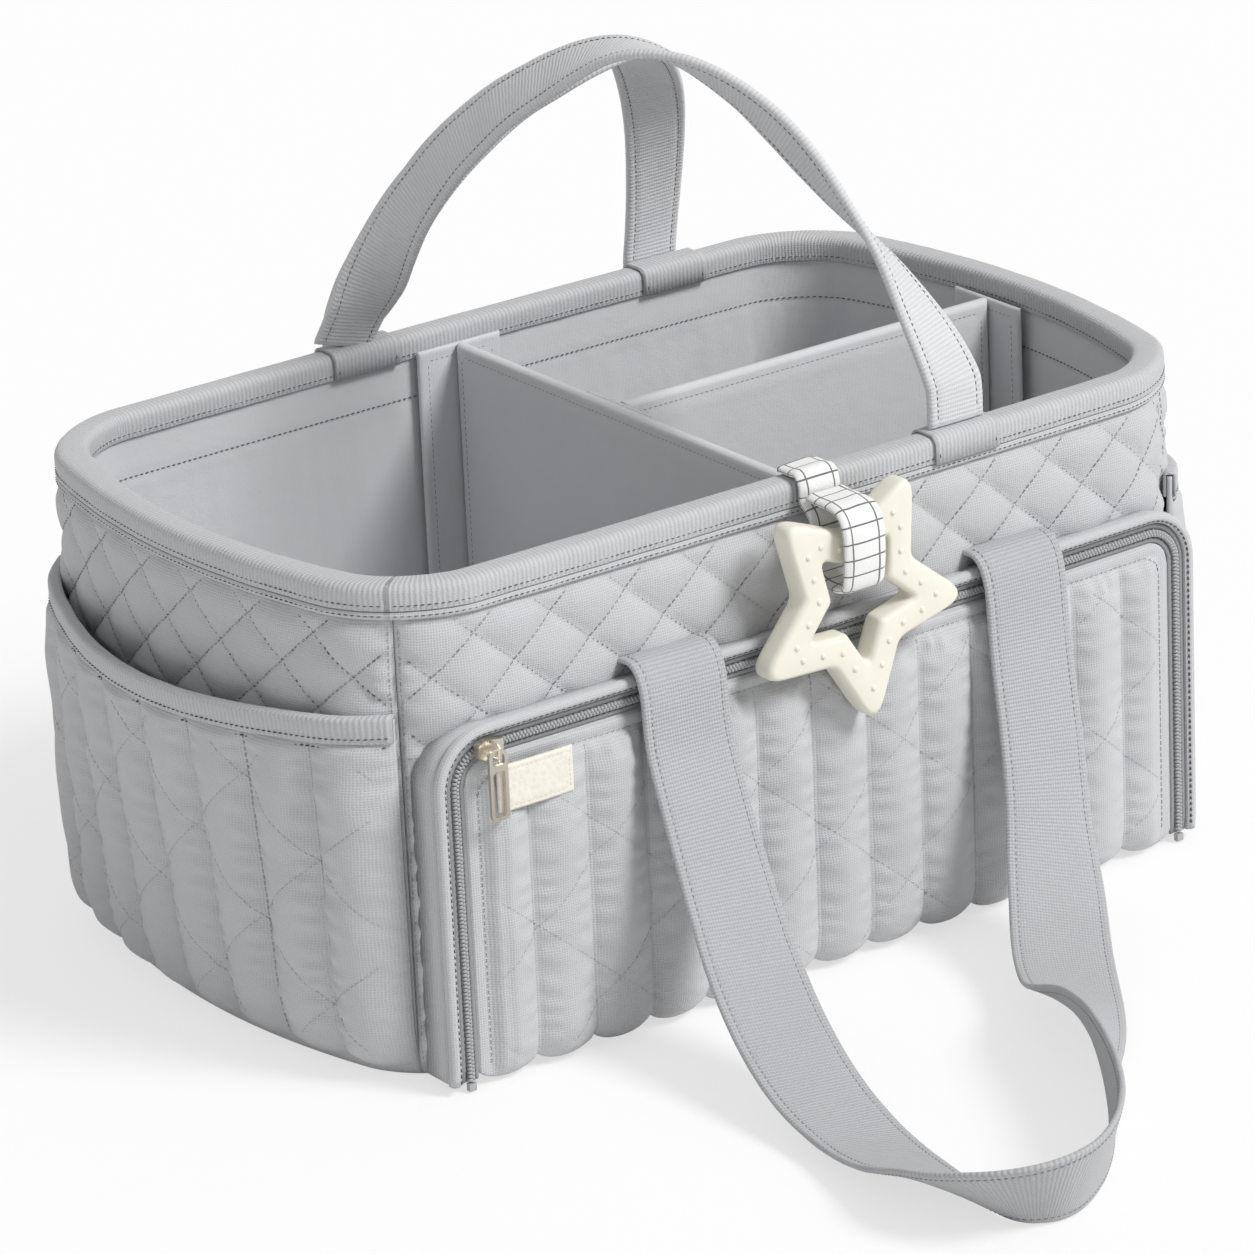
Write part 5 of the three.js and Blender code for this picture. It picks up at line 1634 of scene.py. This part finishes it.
WEBBING = (
    (-74, -123.15, 147.1, 1, 0, 0), (-74, -131, 147.3, 1, 0, 0), (-74.2, -136.2, 143.2, 1, 0, 0),
    (-74.5, -138.6, 133, 1, 0, 0), (-74.8, -140, 118, 1, 0, 0), (-75, -149, 93, 1, 0, 0),
    (-77, -164, 65, 1, -0.02, 0), (-82, -185, 40, 1, -0.1, 0), (-88, -210, 22.5, 1, -0.12, -0.02),
    (-93, -237, 11, 1, -0.08, -0.05), (-96, -262, 5.5, 0.98, 0.05, -0.12),
    (-100, -284, 6, 0.95, 0.18, -0.22), (-104, -308, 9.5, 0.88, 0.34, -0.38),
    (-107, -331, 13, 0.7, 0.45, -0.62), (-102, -349, 16, 0.45, 0.46, -0.78),
    (-90, -359, 17.6, 0.28, 0.46, -0.85), (-75, -360, 18.4, 0.14, 0.45, -0.88),
    (-60, -353, 19, 0.05, 0.4, -0.92), (-45, -341, 19.8, 0, 0.28, -0.96), (-31, -325, 20.4, 0, 0.1, -0.99),
    (-18, -307, 20.4, 0.04, -0.06, -0.99), (-6, -288, 20, 0.12, -0.2, -0.97),
    (6, -269, 18.6, 0.36, -0.34, -0.86), (18, -250, 15.6, 0.7, -0.4, -0.56),
    (31, -229, 12.6, 0.9, -0.32, -0.24), (47, -205, 15, 0.97, -0.2, -0.06), (64, -182, 27, 0.99, -0.1, 0),
    (76, -164, 46, 1, 0, 0), (83, -152, 76, 1, 0, 0), (87, -141.5, 112, 1, 0, 0),
    (88, -138.6, 131, 1, 0, 0), (88, -136.2, 143.2, 1, 0, 0), (88, -131, 147.3, 1, 0, 0),
    (88, -123.05, 147.1, 1, 0, 0),
)


@dataclass
class Handles:
    """The two stand-up handles."""

    width: float = 26.0
    thick: float = 4.0
    lean: float = 6.7
    lean_x: float = -45.8
    front_x: float = 72.0
    rear_left_x: float = -35.5
    rear_right_x: float = 112.5
    rear_foot: float = 187.0
    front_route: Rows = FRONT_HANDLE
    rear_route: Rows = REAR_HANDLE

    def foot(self, middle: Array, rise: Array, across: tuple[float, float]) -> list[list[float]]:
        """The stops of a front handle's foot, from the sleeve's top up.

        Args:
            middle: The middle of the CAD's round tongue.
            rise: The way the foot rises.
            across: The X and Y of the direction across.

        Returns:
            The stops.
        """
        start = (BOX.sleeve_top + BOX.clearance / 2 - middle[2]) / rise[2]
        reaches = (start, -self.width / 4, 0, self.width / 8)
        return [[*(middle + rise * reach), *across, 0] for reach in reaches]

    def strap(self, node: str, stops: Rows, blend: Tie) -> None:
        """One handle's strap and its stitches.

        Args:
            node: The CAD node that it replaces.
            stops: Its route.
            blend: What is done to it once it is made.
        """
        thread = Thread(node + "_stitches", THREAD)
        Strap(node, stops, self.width, self.thick, HANDLE_CLOTH, "handle_strap", blend, thread).build()

    def front(self) -> None:
        """The front handle, from the rear rim over the box to the front rim."""
        drop = math.hypot(self.width / 2, self.thick / 2)
        hinge = BOX.sleeve_top + BOX.clearance + drop
        middle = (BOX.rim_in - BOX.rim_out) / 2
        tip = np.array([self.lean_x, BOX.long_side(self.lean_x, middle), hinge])
        upright = np.array([self.front_x, -BOX.long_side(self.front_x, middle), hinge])
        line = unit(upright - tip)
        rise = unit(line * self.lean + [0, 0, drop])
        left = self.foot(tip + line * self.lean, rise, (1, -0.2))
        right = self.foot(upright, np.array([0.0, 0.0, 1.0]), (-1, 0))[::-1]

        def blend(piece: Object) -> None:
            """Bakes a piece's placement into its mesh."""
            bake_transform(piece)

        self.strap("front_handle", [*left, *self.front_route, *right], blend)

    def rear(self) -> None:
        """The rear handle, sewn to the outer side of the rear rim."""
        offset = BOX.rim_out + 2 * BOX.clearance + BOX.sleeve + self.thick / 2
        ends = []
        for x in (self.rear_left_x, self.rear_right_x):
            heights = (self.rear_foot, self.rear_foot + self.thick, BOX.sleeve_top)
            ends.append([[x, BOX.long_side(x, -offset), z, 1, 0, 0] for z in heights])

        def blend(piece: Object) -> None:
            """Bakes a piece's placement into its mesh."""
            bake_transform(piece)

        self.strap("rear_handle", [*ends[0], *self.rear_route, *ends[1][::-1]], blend)

    def build(self) -> None:
        """Builds both handles."""
        self.front()
        self.rear()


@dataclass
class WebbingLoops:
    """The two webbing carry loops."""

    width: float = 39.0
    thick: float = 2.4
    sewn_y: float = 0.1228
    free_y: float = 0.1345
    height: float = 0.147
    inset: float = 3.4
    groove: float = 0.3
    calm: float = 7.0
    route: Rows = WEBBING

    def loop(self, word: str, side: int) -> None:
        """One loop; the rear one is the front one turned half round.

        Args:
            word: The side's name.
            side: The side of Y.
        """
        stops = np.array(self.route) * [-side, -side, 1, -side, -side, 1]

        def blend(piece: Object) -> None:
            """Bakes a piece's placement into its mesh."""
            start, end = (0, side * self.sewn_y, self.height), (0, side * self.free_y, self.height)
            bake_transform(piece)
            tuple(start)
            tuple(end)

        thread = Thread(word + "_webbing_stitches", SEAM_SHADED_PALE_THREAD)
        node = word + "_webbing_loop"
        strap = Strap(node, stops, self.width, self.thick, WEBBING_CLOTH, "webbing", blend, thread)
        strap.inset, strap.groove, strap.calm = self.inset, self.groove, self.calm
        strap.build()

    def build(self) -> None:
        """Builds the front and the rear loop."""
        self.loop("front", -1)
        self.loop("rear", 1)


@dataclass
class Pad:
    """An upright padded board of cloth between two corners of its box.

    Attributes:
        node: The CAD node that it replaces.
        body: The body that it rides on.
        low: Its lowest corner.
        high: Its highest corner.
        run: The axis that it runs along.
        belly: How far its faces sink in from the edges.
        hem: How far its stitches are from its edges.
    """

    node: str
    body: str
    low: Triple
    high: Triple
    run: int
    belly: float = 0.5
    hem: float = 4.5

    def build(self) -> None:
        """Builds the pad and its stitches."""
        low, high = np.array(self.low), np.array(self.high)
        run, thick = self.run, 1 - self.run
        length, height, depth = high[run] - low[run], high[2] - low[2], high[thick] - low[thick]
        close = np.array([0, 0.3, 1.0, 2.2])
        middle = np.linspace(4, length - 4, max(8, int(length / 4)))
        s = np.concatenate([close, middle, length - close[::-1]])
        z = np.concatenate([close, np.linspace(6, height - 6, 40), [height - 4.5], height - close[::-1]])
        grid_s, grid_z = np.meshgrid(s, z, indexing="ij")
        edge = np.minimum(np.minimum(grid_s, length - grid_s), np.minimum(grid_z + 2, height - grid_z))
        rounding = np.sqrt(np.clip(1 - (1 - np.clip(edge / (depth / 2), 0, 1)) ** 2, 0, 1))
        seam = np.exp(-((edge - self.hem) ** 2) / 0.8) * min(0.45, depth * 0.12)
        swell = self.belly * 0.4 * (ripple(grid_s, grid_z, 60, len(self.node)) - 1)
        half = (depth / 2) * (0.25 + 0.75 * rounding) - seam + np.where(edge > 6, swell, 0)
        half = np.clip(half, depth * 0.12, depth / 2)
        sides = []
        for side in (1, -1):
            plan = [low[run] + grid_s, (low[thick] + high[thick]) / 2 + side * half]
            sides.append(stacked(*(plan[::-1] if run else plan), low[2] + grid_z))
        uv = stacked(grid_s, grid_z)
        made = MAKER.shell(self.node + "_pad", *sides, LINING_CLOTH, uv, flip=run == 0)
        tie(made, "lining", self.node, self.body, 0.3 if depth > 4 else None)
        thread = Thread(self.node + "_stitches", THREAD, width=0.45, lift=0.0)
        line_s, line_z = np.linspace(self.hem, length - self.hem, 400), np.linspace(3, height - self.hem, 300)
        for side, face in ((1, sides[0]), (-1, sides[1])):
            cover = Cover(face, s, grid_z)
            normal = np.zeros(3)
            normal[thick] = side
            thread.row(cover.at(line_s, height - self.hem)[0], normal)
            for place in (self.hem, length - self.hem):
                thread.row(cover.at(place, line_z)[0], normal)
        thread.done("lining", self.body)


@dataclass
class Dividers:
    """The cross divider and the long divider, their tabs and the strips behind them."""

    thick: float = 6.0
    cross_x: float = 4.0
    cross_top: float = 189.0
    long_y: float = 9.0
    long_top: float = 188.0
    tab_width: float = 40.0
    tab: float = 2.4
    strip_width: float = 30.0
    strip: float = 0.8
    strip_foot: float = 40.0
    strip_top: float = 180.0

    def divider(self, body: str, run: int, middle: float, top: float, ends: dict[str, float]) -> None:
        """One divider and its two tabs.

        Args:
            body: The body that they ride on.
            run: The axis that it runs along.
            middle: Its place on the other axis.
            top: The height of its top.
            ends: The place of its start and of its end, by the tab's name.
        """
        clear, wide = BOX.clearance, self.tab_width / 2
        (first, start), (last, end) = ends.items()
        pieces = (
            (body, start, end, self.thick / 2, run, 0.5),
            (f"{body}_tab_{first}", start - clear - self.tab, start - clear, wide, 1 - run, 0.1),
            (f"{body}_tab_{last}", end + clear, end + clear + self.tab, wide, 1 - run, 0.1),
        )
        for node, low, high, half, axis, belly in pieces:
            corners = [(low, middle - half), (high, middle + half)]
            low_plan, high_plan = (corner[::-1] if run else corner for corner in corners)
            Pad(node, body, (*low_plan, BOX.floor_top + clear), (*high_plan, top), axis, belly).build()

    def strips(self) -> None:
        """The hook-and-loop strips on the lining."""
        half, foot, top = self.strip_width / 2, self.strip_foot, self.strip_top
        across, z = np.meshgrid(np.linspace(-half, half, 12), np.linspace(foot, top, 30), indexing="ij")
        edge = np.minimum(half - np.abs(across), np.minimum(z - foot, top - z))
        thick = self.strip * (0.5 + 0.5 * near(edge, 1.5))
        inset = BOX.wall + BOX.clearance
        side = BOX.long_side(self.cross_x + half, inset)
        end = BOX.end_side(self.long_y + half, inset)
        x, y = self.cross_x + across, self.long_y + across
        faces = {
            "front_lining_strip": (stacked(x, thick - side, z), stacked(x, -side, z), False),
            "rear_lining_strip": (stacked(x, side - thick, z), stacked(x, side, z), True),
            "right_lining_strip": (stacked(end - thick, y, z), stacked(end, y, z), False),
        }
        for node, (front, back, flip) in faces.items():
            made = MAKER.shell(node + "_pile", front, back, STRIP_CLOTH, stacked(across, z), flip)
            tie(made, "binding", node)

    def build(self) -> None:
        """Builds every piece of the dividers."""
        inset, gap = BOX.rim_in + BOX.clearance, self.tab + 2 * BOX.clearance
        reach = BOX.long_side(self.cross_x + self.tab_width / 2, inset) - gap
        start = self.cross_x + self.thick / 2 + gap
        end = BOX.end_side(self.long_y + self.tab_width / 2, inset) - gap
        self.divider("cross_divider", 1, self.cross_x, self.cross_top, {"front": -reach, "rear": reach})
        self.divider("long_divider", 0, self.long_y, self.long_top, {"left": start, "right": end})
        self.strips()


@dataclass
class Teether:
    """The silicone star and the checked strap that hangs it."""

    back: float
    x: float = 1.0
    z: float = 152.8
    outer: float = 53.0
    inner: float = 27.0
    hole_outer: float = 27.0
    hole_inner: float = 13.5
    tip_round: float = 6.0
    notch_round: float = 7.0
    hole_round: float = 2.5
    thick: float = 11.0
    bevel: float = 3.0
    turn: float = 6.0
    dot: float = 1.3
    dot_pitch: float = 9.5
    strap_width: float = 19.0
    strap_thick: float = 3.6
    strap_round: float = 2.5
    loose: float = 2.6
    meet: float = 7.0

    def outline(self, outer: float, inner: float, tip: float, notch: float, steps: int = 8) -> Array:
        """A rounded star.

        Args:
            outer: The radius of its tips.
            inner: The radius of its notches.
            tip: The rounding of its tips.
            notch: The rounding of its notches.
            steps: The steps round each corner.

        Returns:
            Its points.
        """
        turns = np.radians(self.turn - 90) + 2 * math.pi * np.arange(10) / 10
        radii = np.where(np.arange(10) % 2, inner, outer)
        corners = stacked(radii * np.cos(turns), radii * np.sin(turns))
        found = []
        for place, corner in enumerate(corners):
            before, after = corners[place - 1] - corner, corners[(place + 1) % 10] - corner
            half = math.acos(float(unit(before) @ unit(after))) / 2
            reach = min((notch if place % 2 else tip) / math.tan(half), np.linalg.norm(before) / 3)
            start, end = corner + unit(before) * reach, corner + unit(after) * reach
            for share in np.linspace(0, 1, steps):
                first, second = start + (corner - start) * share, corner + (end - corner) * share
                found.append(first + (second - first) * share)
        return np.array(found)

    def star(self) -> None:
        """The star, rounded over all its edges."""
        outer = self.outline(self.outer, self.inner, self.tip_round, self.notch_round)
        hole = self.outline(self.hole_outer, self.hole_inner, self.hole_round, self.hole_round)
        way = unit(hole - outer)
        arc = np.linspace(0, math.pi / 2, 6)
        edge = [(self.bevel * (1 - math.cos(a)), self.thick - self.bevel * (1 - math.sin(a))) for a in arc]
        ring = [(inward, out, outer, way) for inward, out in edge]
        ring += [(inward, out, hole, -way) for inward, out in edge[::-1]]
        ring += [(inward, self.thick - out, hole, -way) for inward, out in edge]
        ring += [(inward, self.thick - out, outer, way) for inward, out in edge[::-1]]
        rings = []
        for inward, out, line, inside in ring:
            x, z = (line + inside * inward).T
            rings.append(stacked(self.x + x, -(self.back + out), self.z + z))
        points = np.stack(rings, axis=1)
        made = MAKER.tube("star_teether_silicone", points, SILICONE, points[..., ::2], closed=True)
        tie(made, "silicone", "star_teether", "star_teether")

    def dots(self) -> None:
        """The rows of small raised dots along the arms."""
        outer, inner = (self.outer + self.hole_outer) / 2 - 1.5, (self.inner + self.hole_inner) / 2
        middle = self.outline(outer, inner, 3, 3, 6)
        line = np.concatenate([middle, middle[:1]])
        run = running(line)
        centres = sample(np.arange(4, run[-1], self.dot_pitch), run, line)
        around = 10
        turns = 2 * math.pi * np.arange(around) / around
        here = np.arange(2 * around)
        there = here - here % around + (here + 1) % around
        pattern = stacked(here, there, there + around, here + around).tolist()
        pattern.append(list(range(2 * around, 3 * around)))
        points, faces = [], []
        for x, z in centres:
            faces += [[len(points) * around + corner for corner in face] for face in pattern]
            for out, share in ((-0.1, 1.0), (0.4, 0.85), (0.72, 0.5)):
                reach, y = self.dot * share, -(self.back + self.thick + out)
                ring = (self.x + x + reach * np.cos(turns), y, self.z + z + reach * np.sin(turns))
                points.append(stacked(*ring))
        table = np.concatenate(points)
        made = MAKER.make("star_dots", table, faces, SILICONE, table[:, ::2])
        tie(made, "silicone", body="star_teether")

    def strap(self) -> None:
        """The checked strap, from the rim round the bridge of the star and back."""
        turn = math.radians(self.turn + 90)
        half, clear, r = self.strap_thick / 2, BOX.clearance, self.strap_round
        x = self.x + (self.inner + self.hole_inner) / 2 * math.cos(turn)
        top = self.z + self.inner * math.sin(turn) + self.notch_round / 2
        foot = self.z + self.hole_inner * math.sin(turn) - self.hole_round / 2
        outside = BOX.long_side(x, -BOX.rim_out - BOX.trim) + clear + half
        inside = BOX.long_side(x, BOX.rim_in - r)
        over = BOX.height + clear + half
        behind, before = self.back - self.loose - half, self.back + self.thick + self.loose + half
        under, above, meet = foot - self.loose - half, top + self.loose + half, over - self.meet
        path = [
            (inside, over), ((inside + outside) / 2, over), (outside - r, over), (outside, BOX.height - r),
            (outside, meet - half), (behind, top), (behind, foot + half), (behind + half, under),
            (before - half, under), (before, foot + half), (before, top),
            (before - self.strap_thick, above + half), (outside + self.strap_thick + clear, meet),
        ]
        route = Route([[x, -out, z, 1, 0, 0] for out, z in path])
        places = np.linspace(0, route.length, 110)
        centre, side, up = route.frame(places)
        angle = 2 * math.pi * np.arange(24) / 24
        pleat = 1 + 0.16 * ripple(places[:, None] * 0.4, 14 * np.cos(angle), 9, 61)
        across = np.sign(np.cos(angle)) * np.abs(np.cos(angle)) ** 0.6 * self.strap_width / 2
        rise = np.sign(np.sin(angle)) * np.abs(np.sin(angle)) ** 0.8 * half
        raised = (rise * pleat)[..., None]
        rings = centre[:, None] + side[:, None] * across[:, None] + up[:, None] * raised
        uv = lattice(places, angle / math.pi * self.strap_width)
        made = MAKER.tube("teether_strap_cloth", rings, CHECKED_CLOTH, uv)
        tie(made, "checked_cloth", "teether_strap")

    def build(self) -> None:
        """Builds the star and its strap."""
        self.star()
        self.dots()
        self.strap()


@dataclass
class Hardware:
    """The CAD nodes that stay: the metal pieces, the zipper's stops and the hidden boards."""

    metal: tuple[str, ...] = ("zipper_runner", "runner_bail", "zipper_pull")
    stops: tuple[str, ...] = ("zipper_stop_left", "zipper_stop_right")
    boards: tuple[str, ...] = ("front_board", "rear_board", "left_board", "right_board", "base_board")
    bevel: float = 0.0003

    def build(self, nodes: dict[str, Object]) -> None:
        """Dresses the nodes.

        Args:
            nodes: The CAD nodes by name.
        """
        for names, finish in ((self.metal, PLATED), (self.stops, COIL_NYLON), (self.boards, BOARD)):
            for name in names:
                nodes[name].data.materials.clear()
                nodes[name].data.materials.append(FINISHES.material(finish))
        for name in self.metal + self.stops:
            edge = nodes[name].modifiers.new("soft_edges", "BEVEL")
            edge.width, edge.segments, edge.limit_method = self.bevel, 2, "ANGLE"


@dataclass
class Studio:
    """The floor, the lamps and the camera."""

    azimuth: float = -35.76
    elevation: float = 21.30
    roll: float = -2.63
    distance: float = 2.60683
    focal_pixels: float = 6504.37
    image: float = 1254.0
    sensor: float = 36.0
    target: Triple = (0.03994, 0.05449, 0.07349)
    floor_half: float = 30.0
    floor_white: float = 0.65
    world: float = 0.47
    sun: float = 2.5
    sun_from: Triple = (0.5, -0.85, 1.0)
    sun_degrees: float = 20.0

    def floor(self) -> None:
        """A wide pale floor that looks white to the camera and keeps the caddy's shadow."""
        mesh, side = bpy.data.meshes.new("floor"), self.floor_half
        corners = [(-side, -side, 0), (side, -side, 0), (side, side, 0), (-side, side, 0)]
        mesh.from_pydata(corners, [], [(0, 1, 2, 3)])
        floor = add("floor", mesh)
        nodes = Nodes("pale_floor")
        nodes.put(nodes.shader.inputs["Base Color"], (0.93, 0.93, 0.93, 1))
        nodes.put(nodes.shader.inputs["Roughness"], 0.95)
        glow = nodes.node("ShaderNodeEmission", {"Color": (1, 1, 1, 1), "Strength": 1.0})
        seen = nodes.node("ShaderNodeLightPath", {}).outputs
        rays = seen["Is Camera Ray"]
        for kind in ("Is Glossy Ray", "Is Transmission Ray"):
            rays = nodes.math("MAXIMUM", rays, seen[kind])
        share = nodes.math("MULTIPLY", rays, self.floor_white)
        inputs = {0: share, 1: nodes.shader.outputs[0], 2: glow.outputs[0]}
        mix = nodes.node("ShaderNodeMixShader", inputs).outputs[0]
        nodes.put(nodes.tree.nodes["Material Output"].inputs["Surface"], mix)
        mesh.materials.append(nodes.material)

    def lights(self) -> None:
        """The world and one soft lamp from the front right."""
        world = bpy.data.worlds.new("studio")
        world.use_nodes = True
        inputs = world.node_tree.nodes["Background"].inputs
        inputs["Color"].default_value = (1, 1, 1, 1)
        inputs["Strength"].default_value = self.world
        bpy.context.scene.world = world
        light = bpy.data.lights.new("soft_key", "SUN")
        light.energy, light.angle = self.sun, math.radians(self.sun_degrees)
        lamp = add("soft_key", light)
        lamp.rotation_mode = "QUATERNION"
        lamp.rotation_quaternion = (-Vector(self.sun_from)).to_track_quat("-Z", "Y")

    def camera(self) -> None:
        """The camera at the photograph's viewing angle."""
        azimuth, elevation, roll = (math.radians(v) for v in (self.azimuth, self.elevation, self.roll))
        flat = math.cos(elevation)
        back = Vector((math.sin(azimuth) * flat, -math.cos(azimuth) * flat, math.sin(elevation)))
        right = Vector((math.cos(azimuth), math.sin(azimuth), 0))
        up = back.cross(right)
        cos, sin = math.cos(roll), math.sin(roll)
        turned = (cos * right + sin * up, cos * up - sin * right, back)
        data = bpy.data.cameras.new("camera")
        data.sensor_width = self.sensor
        data.lens = self.focal_pixels / self.image * self.sensor
        data.clip_end = 100
        camera = add("camera", data)
        place = Matrix.Translation(Vector(self.target) + back * self.distance)
        camera.matrix_world = place @ Matrix(turned).transposed().to_4x4()
        bpy.context.scene.camera = camera

    def build(self) -> None:
        """Sets the studio up."""
        self.floor()
        self.lights()
        self.camera()
        bpy.context.scene.view_settings.view_transform = "Standard"


def main() -> None:
    """Builds the looks in order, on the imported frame."""
    logging.basicConfig(level=logging.INFO, format="%(message)s")
    for thing in list(bpy.data.objects):
        bpy.data.objects.remove(thing)
    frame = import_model()
    pocket, middle, puff_there, gap = FrontPocket(), Teether.x, 3.5, 0.6
    star_back = BOX.long_side(middle) + pocket.edge + pocket.crown_at(np.array(middle)) + puff_there + gap
    teether = Teether(float(star_back))
    for part in (Shell(), EndPockets(), pocket, Handles(), WebbingLoops(), Dividers(), teether):
        part.build()
        LOG.info("%s built", type(part).__name__)
    Hardware().build(frame["nodes"])
    Studio().build()


if __name__ == "__main__":
    main()
